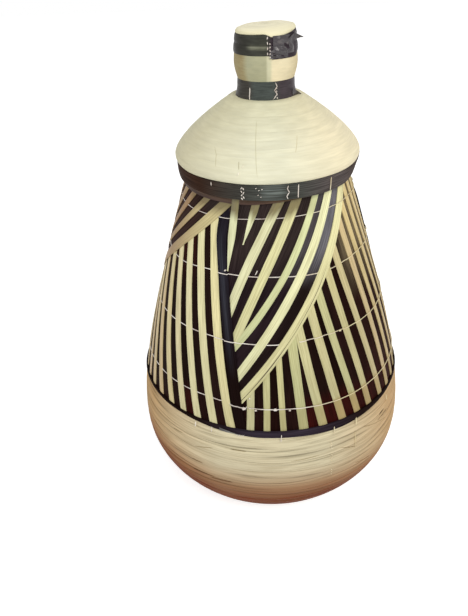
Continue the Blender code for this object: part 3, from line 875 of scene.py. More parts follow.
def lay_uprights(unit, ceiling, edge, next_edge):
    """Lay the pale uprights of one unit and the dark ones between them."""
    number = unit + 1
    luck = random.Random(10 + unit)
    sets = pale_upright_sets(unit)

    def lay(sides, lift, stain_and_light, pale):
        tops = [crossing(side, ceiling, WAIST, NECK_HEAD) for side in sides]
        return lay_splint(unit, sides, (NECK_FOOT, NECK_FOOT), tops, lift, stain_and_light, pale=pale)

    pieces = [lay(sides, PALE_UPRIGHT_LIFT, pale_stain_and_light(colour), True) for sides, colour in sets]
    finish_set(pieces, f"pale_uprights_{number}", straw, "straw_splint", f"upright_pale_{number}")
    pieces = []
    neighbours = [edge, *(sides for sides, _ in sets), next_edge]
    for left, right in zip(neighbours, neighbours[1:]):
        sides = between(left, right)
        middle = (sides[0](WAIST) + sides[1](WAIST)) / 2.0
        share = luck.uniform(0.0, 1.0)
        stain_and_light = dark_stain("#150804", "#221310", share, maroon_share(unit, middle, luck))
        pieces.append(lay(sides, DARK_UPRIGHT_LIFT, stain_and_light, False))
    finish_set(pieces, f"dark_uprights_{number}", dyed, "dark_splint", f"upright_dark_{number}")


def slant_feet(sides):
    """Heights where the two sides of a slant come out from the black splint."""
    return [crossing(side, edge_path, SLANT_FLOOR, NECK_HEAD) for side in sides]


def slant_pieces(unit, sides, colour, is_lowest):
    """One pale slant; the lowest of the front unit is two strips with a fine slit that closes upwards, and a
    dark strip under the slit stands for the shade in it.
    """
    highs = (NECK_HEAD, NECK_HEAD)
    lows = slant_feet(sides)
    stain_and_light = pale_stain_and_light(colour, True)
    if not (is_lowest and unit == FRONT_UNIT):
        return [lay_splint(unit, sides, lows, highs, PALE_SLANT_LIFT, stain_and_light, columns=6, rows=34)]
    wide = part_of(sides, 0.0, lambda z: 0.68 + 0.05 * ease(z, 0.24, 0.29))
    thin = part_of(sides, lambda z: 0.75 - 0.02 * ease(z, 0.24, 0.29), 1.0)
    # A dark strip under the slit: painted shade in the fine gap
    under = part_of(sides, 0.55, 0.9)
    split = lows[0] + (lows[1] - lows[0]) * 0.7
    slit_shade_lift, slit_shade_stain = PALE_SLANT_LIFT - 0.0006, dark_stain("#3B2C20", "#3B2C20", 0.0)
    return [
        lay_splint(unit, wide, (lows[0], split), highs, PALE_SLANT_LIFT, stain_and_light, rows=34),
        lay_splint(unit, thin, (split, lows[1]), highs, PALE_SLANT_LIFT, stain_and_light, columns=2, rows=34),
        lay_splint(unit, under, (split, split), highs, slit_shade_lift, slit_shade_stain, columns=2, rows=34),
    ]


def lay_slants(unit, slants, edge):
    """Lay the pale slants of one unit, the short ones beside the black splint, and the dark ones between."""
    number = unit + 1
    luck = random.Random(20 + unit)
    highs = (NECK_HEAD, NECK_HEAD)
    pieces = []
    for index, (_, sides, colour) in enumerate(slants):
        pieces += slant_pieces(unit, sides, colour, index == len(slants) - 1)
    for start, tip_z, full_z, end, lift in WEDGES:
        sides = wedge_sides(slant_path(start, tip_z, end, 0.0), WEDGE_WIDTH, tip_z, full_z)
        stain_and_light = pale_stain_and_light("#DDDFB4" if unit == FRONT_UNIT else "#CFC488", True)
        pieces.append(lay_splint(unit, sides, (tip_z, tip_z), highs, lift, stain_and_light))
    finish_set(pieces, f"pale_slants_{number}", straw, "green_straw_splint", f"slant_pale_{number}")
    pieces = []
    neighbours = [edge, *(sides for _, sides, _ in slants)]
    for index, (left, right) in enumerate(zip(neighbours, neighbours[1:])):
        sides = between(left, right)
        lows = slant_feet(sides)
        if index == 0:
            lows[0] = lows[1]
        # Painted sheen high up; the front unit's last two gaps get a painted grey highlight
        stain_and_light = sheen_stain(dark_stain("#1D130F", "#281D22", luck.uniform(0.0, 1.0)), SHEEN_BROWN, 0.35)
        if unit == FRONT_UNIT and index >= 3:
            stain_and_light = sheen_stain(stain_and_light, GREY_SHEEN, 1.0 if index == 4 else 0.35)
        pieces.append(lay_splint(unit, sides, lows, highs, DARK_SLANT_LIFT, stain_and_light, columns=6, pale=False))
    finish_set(pieces, f"dark_slants_{number}", dyed, "dark_splint", f"slant_dark_{number}")


def lay_unit(unit):
    """Lay all the splints of one unit of the stripes and join them in their sets."""
    number = unit + 1
    slants = slant_sets(unit)
    edge = sides_of(edge_path, EDGE_WIDTH)
    span = unit_span(unit)
    next_edge = (lambda z: edge[0](z) + span, lambda z: edge[1](z) + span)
    lay_uprights(unit, slants[-1][0], edge, next_edge)
    lay_slants(unit, slants, edge)
    ends = ((NECK_FOOT, NECK_FOOT), (NECK_HEAD, NECK_HEAD))
    piece = lay_splint(unit, edge, *ends, edge_lift, edge_stain_and_sheen, columns=6, rows=40, pale=False)
    name, node = f"black_edge_splint_{number}", f"edge_splint_{number}"
    finish_set([piece], name, dyed, "black_splint", node, EDGE_THICKNESS)


# Wound and turned pieces


# Points across a strand: how far across, how full it is there, and how much of a crease's painted shade they
# have
STRAND_SHARES = (0.0, 0.08, 0.28, 0.5, 0.72, 0.92)
STRAND_SWELL = (0.0, 0.55, 0.92, 1.0, 0.86, 0.5)
STRAND_CREASE_SHADE = (1.0, 0.35, 0.0, 0.0, 0.0, 0.35)
STRAP_THICKNESS = 0.0014
# Thickness of a loose strip end
STRIP_THICKNESS = 0.0003


def even_levels(outline, low, high, count):
    """Heights that cut an outline into equal lengths along its surface, and that length."""
    steps = 400
    heights = [low + (high - low) * i / steps for i in range(steps + 1)]
    run = [0.0]
    for a, b in zip(heights, heights[1:]):
        run.append(run[-1] + math.hypot(b - a, outline(b) - outline(a)))
    levels = []
    for i in range(count + 1):
        goal = run[-1] * i / count
        index = min(next(k for k, r in enumerate(run) if r >= goal - 1e-9), steps)
        levels.append(heights[index])
    return levels, run[-1] / count


def wound_course(name, outline, levels, pitch, first, last, swell, stray, crease_shade, uneven, stain_and_light, seed):
    """Strap of flat strands wound one over another, whose creases come and go round the basket."""
    rows = [(strand, k) for strand in range(first, last) for k in range(len(STRAND_SHARES))] + [(last, 0)]
    count = len(levels) - 1
    steps = len(rows) + 2
    inner = {len(rows): levels[last], len(rows) + 1: levels[first]}

    def place(u, v):
        angle = 360.0 * u - 180.0
        index = round(v * steps)
        if index in inner:
            z = inner[index]
            point = round_point(angle, outline(z) - STRAP_THICKNESS, z)
            return point, (0.0, angle * 0.001), stain_and_light(z, front_angle(angle), 0.0)
        strand, k = rows[index % steps]
        spot = strand + STRAND_SHARES[k]
        boundary = strand if k < 3 else strand + 1
        crease = min(max(0.45 + 1.5 * hand_noise(angle, 2.8, boundary, seed), 0.04), 1.0)
        loose = min(spot, count - spot, 1.0)
        spot = min(max(spot + stray * loose * hand_noise(angle, 1.1, spot * 0.35, seed + 40.0), 0.0), count)
        base = min(int(spot), count - 1)
        z = levels[base] + (levels[base + 1] - levels[base]) * (spot - base)
        height = swell * (STRAND_SWELL[k] * crease + 1.0 - crease) - swell
        tilt = slope_of(outline, z)
        point = round_point(angle, outline(z) + height * math.cos(tilt), z - height * math.sin(tilt))
        # Painted shade in the creases between strands
        shade = 1.0 - crease_shade * crease * STRAND_CREASE_SHADE[k]
        shade *= 1.0 + uneven * hand_noise(angle, 2.0, strand, seed + 80.0)
        grain = (spot * pitch, math.radians(angle) * 0.1 + strand * 0.37)
        return point, grain, shaded(stain_and_light(z, front_angle(angle), 0.0), shade)

    return smooth_piece(named(close_seams(laid_sheet(COURSE_SEGMENTS, steps, place)), name), 60.0)


def wind_courses(label, body, look, count, outline, levels, pitch, *winding):
    """Wind the bowl or the lid in as many courses as the CAD model has, each of a few turns of the strand."""
    turns = (len(levels) - 1) // count
    for course in range(count):
        name, node = f"{label}_winding_{course + 1}", f"{label}_course_{course + 1}"
        first = course * turns
        piece = wound_course(name, outline, levels, pitch, first, first + turns, *winding)
        finish_piece(piece, look, body, f"{label}_splint", node)


def wind_strand(radius, z, half_height, half_thickness, tilt):
    """One turn of a strand: a circle pressed flat, tilted to the wall and spun round the basket."""
    piece = add_circle(COIL_SIDES, 1.0, (radius, 0.0, z), (math.pi / 2.0, 0.0, 0.0))
    for vert in piece.data.vertices:
        out, up = (vert.co.x - radius) * half_thickness, (vert.co.z - z) * half_height
        vert.co.x = max(radius + out * math.cos(tilt) + up * math.sin(tilt), 0.0)
        vert.co.z = z + up * math.cos(tilt) - out * math.sin(tilt)
    bpy.ops.object.mode_set(mode="EDIT")
    bpy.ops.mesh.select_all(action="SELECT")
    around = {"angle": 2.0 * math.pi, "center": (0.0, 0.0, 0.0), "axis": (0.0, 0.0, 1.0)}
    bpy.ops.mesh.spin(steps=COIL_SEGMENTS, **around)
    return close_seams(piece)


def coiled_rows(outline, low, high, size, half_thickness):
    """Round coils stacked along an outline, their outer faces on it."""
    count = max(round(math.hypot(high - low, outline(high) - outline(low)) / size), 1)
    levels, pitch = even_levels(outline, low, high, count)
    pieces = []
    for a, b in zip(levels, levels[1:]):
        z = (a + b) / 2.0
        tilt = slope_of(outline, z)
        radius = outline(z) - half_thickness * math.cos(tilt)
        height = z + half_thickness * math.sin(tilt)
        pieces.append(wind_strand(radius, height, pitch * 0.56, half_thickness, tilt))
    return pieces


def coiled_disc(outer, z, size, half_thickness):
    """Flat disc of coils, one inside another, closed at the middle."""
    count = round(outer / size)
    width = outer / count
    middles = [width * (i + 0.5) for i in range(count)]
    return [wind_strand(middle, z, width * 0.56, half_thickness, math.pi / 2.0) for middle in middles]


def finish_coils(pieces, name, body, node):
    """Join coils and let them stand for their CAD node."""
    whole = joined(pieces, name)
    pick(whole)
    bpy.ops.object.shade_smooth()
    finish_piece(whole, coil, body, "coil_fibre", node)


# Pitch of the hidden coils of the basket and of the lid, and turns of the strands wound over them
BASKET_COIL = 0.0072
LID_COIL = 0.0066
BOWL_TURNS = 30
LID_TURNS = 10


def make_coils():
    """Coiled wall, base, lid shell and collar, which show inside and underneath."""
    wall = coiled_rows(lift_line(core_radius, -0.0002), 0.006, RIM - 0.0004, BASKET_COIL, 0.0019)
    finish_coils(wall, "coiled_wall", "basket", "body_coil_wall")
    base = coiled_disc(BASE_RADIUS + 0.001, 0.003, BASKET_COIL, 0.003)
    finish_coils(base, "coiled_base", "basket", "base_disc")
    low, high = LID_SEAT + 0.0002, WINDING_TOP - 0.002
    shell = coiled_rows(lift_line(lid_outline, -0.0022), low, high, LID_COIL, 0.0018)
    shell += coiled_disc(CONE_TOP_RADIUS, WINDING_TOP - 0.0026, LID_COIL, 0.0019)
    finish_coils(shell, "coiled_lid_shell", "lid", "lid_cone")
    collar = coiled_rows(lambda z: COLLAR_RADIUS, LID_SEAT - 0.0199, LID_SEAT + 0.002, LID_COIL, 0.0018)
    collar += [wind_strand(0.0698, LID_SEAT + 0.0017, 0.0043, 0.0016, math.pi / 2.0)]
    finish_coils(collar, "coiled_lid_collar", "lid", "lid_collar")


def bowl_stain_and_reflection(z, angle, u):
    """Colour of the bowl: creamy at the front, tan at the sides, and a painted red brown reflection
    underneath.
    """
    left = sideways(-angle, 22.0, 62.0)
    right = sideways(angle, 22.0, 62.0)
    # Painted reflection of red light underneath, highest on the left
    reflected_brown = ease(0.101 + 0.008 * left - 0.014 * right - z, 0.0, 0.026)
    return tinted(
        "#D9CFAF",
        ("#D0C5A7", ease(0.134 - z, 0.0, 0.03)),
        ("#BC9A6D", left),
        ("#CCA97D", right),
        ("#9C6C45", reflected_brown * (0.8 + 0.2 * left)),
        ("#70341C", ease(0.082 + 0.012 * left - 0.010 * right - z, 0.0, 0.028)),
    )


def make_bowl():
    """Bowl of flat strands, five turns to each CAD course, with a few cracks between them."""
    levels, pitch = even_levels(smooth_outline, 0.0055, WAIST - 0.0028, BOWL_TURNS)
    luck = random.Random(5)
    widths = [level - below for below, level in zip(levels, levels[1:])]
    for index in range(1, BOWL_TURNS):
        levels[index] += widths[index] * luck.uniform(-0.28, 0.28)
    swell, stray, crease_shade, uneven, seed = 0.0015, 0.9, 0.62, 0.16, 11.0
    winding = (swell, stray, crease_shade, uneven, bowl_stain_and_reflection, seed)
    wind_courses("bowl", "basket", bowl_fibre, 6, smooth_outline, levels, pitch, *winding)
    cracks = [stitch(smooth_outline, marks, 0.0, *look) for marks, *look in BOWL_CRACKS]
    finish_lines(cracks, "bowl_winding_cracks", bowl_fibre, "basket", "bowl_splint")


def lid_stain(z, angle, u):
    """Colour of the lid: pale cream, greyer at the left and above, warmer at the right."""
    return tinted(
        "#DFDDC4",
        ("#CFC9AA", sideways(-angle, 10.0, 60.0)),
        ("#F2E7C6", sideways(angle, 10.0, 50.0)),
        ("#D4D0AF", 0.6 * ease(z, 0.385, 0.408)),
    )


def make_lid_cone():
    """Lid's cone of wide flat strands with little relief, two turns to each CAD course."""
    levels, pitch = even_levels(lid_outline, LID_SHOULDER + 0.0001, WINDING_TOP, LID_TURNS)
    swell, stray, crease_shade, uneven, seed = 0.00022, 0.35, 0.05, 0.04, 60.0
    winding = (swell, stray, crease_shade, uneven, lid_stain, seed)
    wind_courses("lid", "lid", lid_fibre, 5, lid_outline, levels, pitch, *winding)
    section = ((0.0255, 0.0006), (0.0285, 0.0005), (0.0310, 0.0001))
    section += ((0.0320, -0.0006), (0.0314, -0.0013), (0.0255, -0.0008))
    rows = [(radius, WINDING_TOP + above) for radius, above in section]
    lay_ring("lid_winding_end", rows, lid_stain, lid_fibre, "lid", "lid_splint")
    seams = [stitch(lid_outline, *seam) for seam in LID_SEAMS]
    finish_lines(seams, "lid_winding_seams", lid_fibre, "lid", "lid_splint")


def turned_ring(name, rows, segments=RING_SEGMENTS):
    """Ring from a circle extruded from row to row of (radius, height), down the outside and up the inside."""
    first, *others = rows
    piece = add_circle(segments, first[0], (0.0, 0.0, first[1]))
    bpy.ops.object.mode_set(mode="EDIT")
    bpy.ops.mesh.select_all(action="SELECT")
    last = first
    for radius, height in [*others, first]:
        share = radius / last[0]
        bpy.ops.mesh.extrude_edges_move(TRANSFORM_OT_translate={"value": (0.0, 0.0, height - last[1])})
        bpy.ops.transform.resize(value=(share, share, 1.0), center_override=(0.0, 0.0, height))
        last = (radius, height)
    return named(close_seams(piece), name)


def strap_rows(outline, low, high, thickness, crown, count=6):
    """Section of a flat strap round an outline, a little crowned: down the outside, up the inside."""
    rows = []
    for i in range(count + 1):
        share = i / count
        z = high + (low - high) * share
        rows.append((outline(z) + crown * (1.0 - abs(2.0 * share - 1.0) ** 3), z))
    rows.append((outline(low) - thickness, low))
    rows.append((outline(high) - thickness, high))
    return rows


def bend_ring(piece, change):
    """Move a ring's points: change gives the new radius and height from the angle, radius and height."""
    for vert in piece.data.vertices:
        angle = angle_of(vert.co)
        radius, z = change(angle, math.hypot(vert.co.x, vert.co.y), vert.co.z)
        vert.co = round_point(angle, radius, z)


def stain_and_light_ring(piece, stain_and_light):
    """Give a turned piece its grain round about and its stain with painted light."""
    mesh = piece.data
    layer = (mesh.uv_layers.active or mesh.uv_layers.new()).data
    angles = [angle_of(vert.co) for vert in mesh.vertices]
    for face in mesh.polygons:
        middle = angle_of(face.center)
        for loop_index in face.loop_indices:
            index = mesh.loops[loop_index].vertex_index
            co = mesh.vertices[index].co
            turn = math.radians(middle + front_angle(angles[index] - middle))
            layer[loop_index].uv = (co.z + math.hypot(co.x, co.y), turn * 0.08)
    stain_and_light_layer = mesh.attributes.new("stain_and_light", "FLOAT_COLOR", "POINT")
    for vert, angle in zip(mesh.vertices, angles):
        stain_and_light_layer.data[vert.index].color = stain_and_light(vert.co.z, front_angle(angle), 0.0)


def lay_ring(name, rows, stain_and_light, look, body, slot, *nodes, change=None, segments=RING_SEGMENTS):
    """Turn a ring, bend it, give it its stain with painted light and finish it."""
    ring = turned_ring(name, rows, segments)
    if change:
        bend_ring(ring, change)
    stain_and_light_ring(ring, stain_and_light)
    finish_piece(smooth_piece(ring), look, body, slot, *nodes)


def hoop_stain(z, angle, u):
    """Waist hoop: black, a little lighter where it faces the light."""
    return tinted("#1A0D0A", ("#352D38", fade(abs(angle - 5.0), 10.0, 36.0)))


def lip_stain(z, angle, u):
    """Brown hoop under the lid: it fades to straw on the right."""
    straw_share = ease(angle, 0.0, 30.0) * fade(abs(angle), 100.0, 130.0)
    return tinted("#43302A", ("#66503F", ease(z, RIM - 0.005, RIM - 0.001)), ("#6E5C3C", straw_share))


def band_stain_and_sheen(z, angle, u):
    """Black band of the lid: painted grey sheen in the middle and at the right, brownish at the left and far
    right, with painted blue grey highlight streaks at the front.
    """
    # Painted blue grey highlight streaks at the front
    streak = ease(angle, -5.0, -1.0) * fade(angle, 8.0, 12.0)
    return tinted(
        "#4C4E4A",
        ("#3A261C", sideways(-angle, 8.0, 44.0)),
        ("#605857", sideways(angle, 18.0, 40.0)),
        ("#45362F", sideways(angle, 50.0, 75.0)),
        ("#8E9894", streak * (0.15 + 0.40 * max(math.sin(z * 2600.0), 0.0))),
    )


def tucked_band(angle, radius, z):
    """The band's lower edge leans in on the right, and its upper edge is raised there."""
    lean = math.exp(-(((angle - 82.0) / 26.0) ** 2)) * fade(z, LID_SEAT, LID_SHOULDER - 0.002)
    raised = math.exp(-(((angle - 84.0) / 16.0) ** 2)) * ease(z, LID_SHOULDER - 0.005, LID_SHOULDER)
    radius += 0.0016 * raised - 0.0024 * lean + 0.0002 * hand_noise(angle, 4.0, 1.0)
    return radius, z + 0.0030 * raised


def narrowed_hoop(angle, radius, z):
    """The waist hoop is widest at the front and wanders up and down."""
    narrow = 0.60 * sideways(-angle, 6.0, 38.0) + 0.66 * sideways(angle, 30.0, 62.0)
    stretched = 0.0010 * ease(z, WAIST - 0.003, WAIST) * sideways(angle, 8.0, 26.0)
    z = WAIST - (WAIST - z) * (1.0 - narrow) + stretched + wander(HOOP_WANDER, angle)
    return radius - 0.0016 * narrow, z


def narrowed_lip(angle, radius, z):
    """The brown hoop slips up out of sight to the right of the front."""
    hidden = 0.75 * ease(angle, -14.0, 22.0) * fade(angle, 88.0, 110.0)
    return radius - 0.0004 * hidden, RIM - (RIM - z) * (1.0 - hidden)


# Outer faces of the splints on the neck and of the waist hoop
neck_outline = lift_line(core_radius, EDGE_LIFT)
hoop_outline = lift_line(smooth_outline, 0.0016)


def make_hoops():
    """Black hoop at the waist, brown hoop under the lid and black band round the lid."""
    rows = strap_rows(lift_line(smooth_outline, 0.0012), WAIST - 0.0062, WAIST - 0.0002, 0.0016, 0.0004)
    names = ("black_splint", "waist_hoop")
    lay_ring("waist_hoop_strap", rows, hoop_stain, dyed, "basket", *names, change=narrowed_hoop)
    end = tail(hoop_outline, (-20.5, 0.1424), (-12.2, 0.1402), 0.0034, 0.0006, 0.001, "#1C1614", "#C0BEB4")
    finish_piece(thicken(joined([end], "waist_hoop_end"), STRIP_THICKNESS), crushed, "basket", "black_splint")
    rows = strap_rows(lift_line(smooth_outline, 0.0011), RIM - 0.0052, RIM - 0.0002, 0.0011, 0.0003)
    names = ("brown_hoop", "mouth_hoop")
    lay_ring("mouth_hoop_strap", rows, lip_stain, brown, "basket", *names, change=narrowed_lip)
    rows = strap_rows(lift_line(band_outline, -0.0006), LID_SEAT, LID_SHOULDER - 0.0003, 0.0010, 0.0006, 10)
    names = ("black_splint", "lid_rim_band")
    lay_ring("lid_band_strap", rows, band_stain_and_sheen, dyed, "lid", *names, change=tucked_band)


# Threads, stitches and knots


def thread_lift(angle, height, ring):
    """Lift of a thread's middle: over what lies there, or under a pale splint that covers it."""
    lift = DARK_UPRIGHT_LIFT + THREAD_RADIUS
    over = any(low < front_angle(angle) < high for low, high in THREAD_OVER[ring])
    for pale, turn, sides, lows, highs, outer in LAID:
        here = front_angle(angle - turn - sides[0](height))
        width = sides[1](height) - sides[0](height)
        if not 0.0 <= here <= width or not min(lows) <= height <= max(highs):
            continue
        face = at_height(outer, height) + CROWN
        if pale and not over:
            return face - SPLINT_THICKNESS - CROWN - THREAD_RADIUS
        lift = max(lift, face + THREAD_RADIUS)
    return lift


def make_threads():
    """Cotton threads sewn round the neck, over the dark splints and under most of the pale ones."""
    for index, height in enumerate(THREAD_HEIGHTS):
        ring = add_circle(THREAD_POINTS, core_radius(height), (0.0, 0.0, height))
        spots = []
        for vert in ring.data.vertices:
            angle = angle_of(vert.co)
            z = height + wander(THREAD_WANDER[index], angle)
            spots.append((angle, z, thread_lift(angle, z, index)))
        for number, (angle, z, lift) in enumerate(spots):
            near = [spots[(number + step) % len(spots)][2] for step in range(-6, 7)]
            taut = lift if abs(angle) < 40.0 and index else max(near) * 0.7 + sum(near) / len(near) * 0.3
            if lift > DARK_UPRIGHT_LIFT + 0.9 * THREAD_RADIUS:
                lift = max(lift, taut)
            ring.data.vertices[number].co = on_wall(angle, z, lift)
        pick(ring)
        bpy.ops.object.convert(target="CURVE")
        ring = bpy.context.object
        ring.data.bevel_depth = THREAD_RADIUS * THREAD_SHARES[index]
        ring.data.bevel_resolution = 1
        bpy.ops.object.convert(target="MESH")
        ring = bpy.context.object
        ring.name = f"sewn_thread_{index + 1}"
        pick(ring)
        bpy.ops.object.shade_smooth()
        finish_piece(ring, cotton, "basket", "white_thread", f"thread_ring_{index + 1}")


def sew(points, thickness, colour):
    """Short length of thread through points, pointed at both ends."""
    plain = linear(colour)

    def place(u, v):
        at = v * (len(points) - 1)
        index = min(int(at), len(points) - 2)
        first, second = points[index], points[index + 1]
        middle = first.lerp(second, at - index)
        along = (second - first).normalized()
        side = along.cross(Vector((middle.x, middle.y, 0.0))).normalized()
        out = side.cross(along)
        radius = thickness / 2.0 * math.sqrt(max(1.0 - abs(2.0 * v - 1.0) ** 6, 0.0))
        turn = 2.0 * math.pi * u
        return middle + (out * math.cos(turn) + side * math.sin(turn)) * radius, (u * 0.001, v * 0.01), plain

    return close_seams(laid_sheet(6, 3 * (len(points) - 1), place))


def stitch(outline, marks, lift=0.0004, thickness=0.0008, colour="#FFFFFF"):
    """Stitch through (angle, height) marks on an outline."""
    points = []
    for (a, low), (b, high) in zip(marks, marks[1:]):
        steps = max(round(abs(high - low) / 0.003), 1)
        points += [(a + (b - a) * i / steps, low + (high - low) * i / steps) for i in range(steps)]
    points.append(marks[-1])
    return sew([round_point(angle, outline(z) + lift, z) for angle, z in points], thickness, colour)


def dotted(outline, angle, low, high, count, lift=0.0004):
    """Row of short stitches one over another, as a thread shows that dives in and out."""
    step = (high - low) / count
    pieces = []
    for i in range(count):
        start = low + step * i
        sway = 0.5 if i % 2 else -0.5
        marks = ((angle - sway, start), (angle + sway, start + step * 0.7))
        pieces.append(stitch(outline, marks, lift, 0.0009))
    return pieces


def knot(angle, z, size, lift):
    """Small lump of knotted thread."""
    clear_selection()
    middle = on_wall(angle, z, lift)
    bpy.ops.mesh.primitive_ico_sphere_add(subdivisions=2, radius=size, location=middle)
    piece = bpy.context.object
    bpy.ops.object.transform_apply(location=True, rotation=True, scale=True)
    for vert in piece.data.vertices:
        away = vert.co - middle
        lumpy = 1.0 + 0.5 * noise.noise(vert.co * 900.0)
        vert.co = middle + Vector((away.x * 1.25, away.y, away.z * 0.8)) * lumpy
    return piece


def basket_stitches():
    """Knots and stitches of the basket."""
    pieces = [knot(*where) for where in KNOTS]
    pieces.append(stitch(neck_outline, ((-6.9, 0.2835), (-6.1, 0.2858), (-5.6, 0.2875)), 0.0008))
    pieces += [stitch(hoop_outline, (foot, head), 0.0005, size) for foot, head, size in HOOP_STITCHES]
    pieces.append(stitch(smooth_outline, ((36.6, 0.104), (36.5, 0.114), (36.7, 0.1225)), 0.0003, 0.0006))
    for low, high in ((0.0830, 0.0915), (0.0995, 0.1100), (0.1145, 0.1230)):
        pieces += dotted(smooth_outline, 25.0, low, high, 3, 0.0002)
    return pieces


def lid_stitches():
    """Stitches of the lid's band and of the knob."""
    low, high = LID_SEAT + 0.0006, LID_SHOULDER - 0.0010
    crooked = ((12.0, low), (11.2, 0.3475), (12.6, 0.3510), (11.4, 0.3540), (12.0, high))
    pieces = [stitch(band_outline, marks) for marks in (((-34.5, 0.3530), (-34.4, high)), crooked)]
    pieces += dotted(band_outline, -14.9, low, high, 4) + dotted(band_outline, -13.8, low + 0.0010, high, 3)
    for foot, head in ((18.0, 17.9), (40.3, 40.0)):
        pieces.append(stitch(band_outline, ((foot, low), (head, high)), 0.0004, 0.0009))
    left = ((-30.6, KNOB_FOOT + 0.0006), (-32.2, 0.4135), (-32.6, 0.4205))
    right = ((12.5, 0.4108), (21.0, 0.4150), (16.5, 0.4180), (21.5, 0.4210), (18.0, 0.4245))
    pieces += [stitch(knob_foot_line, marks, 0.0007) for marks in (left, right)]
    pieces += dotted(knob_foot_line, 20.5, 0.4112, 0.4238, 5, 0.0007)
    for angle, z in ((-6.4, 0.3549), (-4.7, 0.3533), (-3.0, 0.3541), (-5.3, 0.3490), (-3.7, 0.3474)):
        pieces.append(stitch(band_outline, ((angle - 0.5, z), (angle + 0.4, z + 0.0008)), 0.0004, 0.0007))
    pieces += dotted(knob_upper_line, 3.5, KNOB_BELLY, KNOB_CAP - 0.001, 4, 0.0006)
    return pieces + dotted(knob_upper_line, 7.5, KNOB_BELLY - 0.002, 0.4560, 5, 0.0014)


# Knob


def knob_foot_line(z):
    """Outer radius of the knob's foot wrap, which flares a little on to the cone."""
    rise = ease(z, KNOB_FOOT, KNOB_NECK)
    return 0.0241 + 0.0022 * max(1.0 - rise / 0.55, 0.0) ** 1.4


def knob_waist_line(z):
    """Outer radius of the knob's pale waist, widest two thirds of the way up."""
    rise = ease(z, KNOB_NECK, KNOB_BELLY)
    swell = 0.0026 * math.sin(math.pi / 2.0 * min(rise / 0.66, 1.0))
    return 0.0242 + swell - 0.0005 * max(rise - 0.66, 0.0) / 0.34


def knob_upper_line(z):
    """Outer radius of the two black wraps at the knob's head."""
    return 0.0264 - 0.0014 * ease(z, KNOB_BELLY, KNOB_CAP)


def knob_foot_stain_and_sheen(z, angle, u):
    """Black foot of the knob: painted grey sheen all over, grey green at the front, purple at the right."""
    # Painted sheen: grey green at the front, purple at the right
    sheen = ease(abs(angle + 2.0), 34.0, 22.0)
    return tinted("#423F3A", ("#4A504D", sheen), ("#494146", sideways(angle, 18.0, 30.0)))


def head_stain_and_sheen(z, angle, u):
    """Black wraps at the knob's head: painted olive grey sheen to the left of their seam, darker further
    left, with a painted highlight band, and painted purple sheen to the right.
    """
    # Painted highlight band low on the upper wrap, left of the front
    painted_highlight = ease(z, 0.4500, 0.4512) * fade(z, 0.4516, 0.4535) * fade(abs(angle + 14.0), 12.0, 22.0)
    return tinted(
        "#3D3E37",
        ("#322F2A", sideways(-angle, 20.0, 70.0)),
        ("#93947F", 0.75 * painted_highlight),
        ("#382F36", sideways(angle, 3.0, 10.0)),
    )


def waist_stain_and_highlight(z, angle, u):
    """Pale waist of the knob: olive grey at the front, sandy at both sides of its seams, with a painted
    highlight just right of its seam.
    """
    return tinted(
        "#A5A486",
        ("#978860", sideways(-angle, 34.0, 46.0)),
        # Painted highlight just right of the seam
        ("#C9C7A8", ease(angle, 0.0, 4.0)),
        ("#E8DBB8", sideways(angle, 8.0, 12.0)),
        ("#CFBD92", sideways(angle, 40.0, 80.0)),
    )


def crumpled(angle, z, width, height, seed, out, colour):
    """Patch of crumpled strip end with painted glints on its folds, stuck on over a wrap."""

    def place(u, v):
        here = angle + math.degrees(width / 0.026) * (u - 0.5)
        level = z + height * (v - 0.5)
        flat = min(min(u, 1.0 - u, v, 1.0 - v) * 5.0, 1.0)
        fold = 0.0020 * noise.noise(Vector((u * 4.0 + v * 2.5, v * 3.0, seed))) * flat
        # Painted glints on the folds
        glint = ease(noise.noise(Vector((u * 4.0 + v * 7.0, v * 3.0 - u * 2.0, seed + 3.0))), 0.2, 0.5) * flat
        glint *= 0.35 + 0.65 * ease(u, 0.5, 0.8)
        point = round_point(here, knob_upper_line(level) + out + fold, level)
        return point, (v * height, u * width), tinted(colour, ("#A59C98", 0.6 * glint))

    return laid_sheet(24, 20, place)


def tail(outline, start, end, width, out, curl, colour, tip):
    """Cut end of a strip that sticks out to a point: start and end are (angle, height)."""

    def place(u, v):
        angle, z = blend(start, end, v)
        wide = width * (1.0 - v) ** 0.8 * (u - 0.5)
        radius = outline(z) + 0.0010 + out * v ** 1.5 + curl * (u - 0.5) * v
        return round_point(angle, radius, z + wide), (wide, v * 0.02), tinted(colour, (tip, v * v))

    return laid_sheet(4, 12, place)


def settled(angle, radius, z):
    """The head of the knob leans down a little to the left."""
    to_left = 0.5 - 0.5 * radius * math.sin(math.radians(angle)) / 0.0262
    return z - 0.0022 * ease(z, KNOB_UPPER, KNOB_CAP) * to_left


def lapped(angle, radius, z):
    """The knob's pale wrap laps over itself at the right."""
    return radius + 0.0005 * ease(angle, 10.5, 13.0) * fade(angle, 60.0, 90.0), z


def hanging(angle, radius, z):
    """The lower edge of the knob's upper wrap hangs down at the right."""
    drop = ease(angle, 7.0, 11.0) * fade(angle, 62.0, 78.0) * fade(z, KNOB_BELLY, KNOB_BELLY + 0.003)
    return radius + 0.0010 * drop, z - 0.0026 * drop


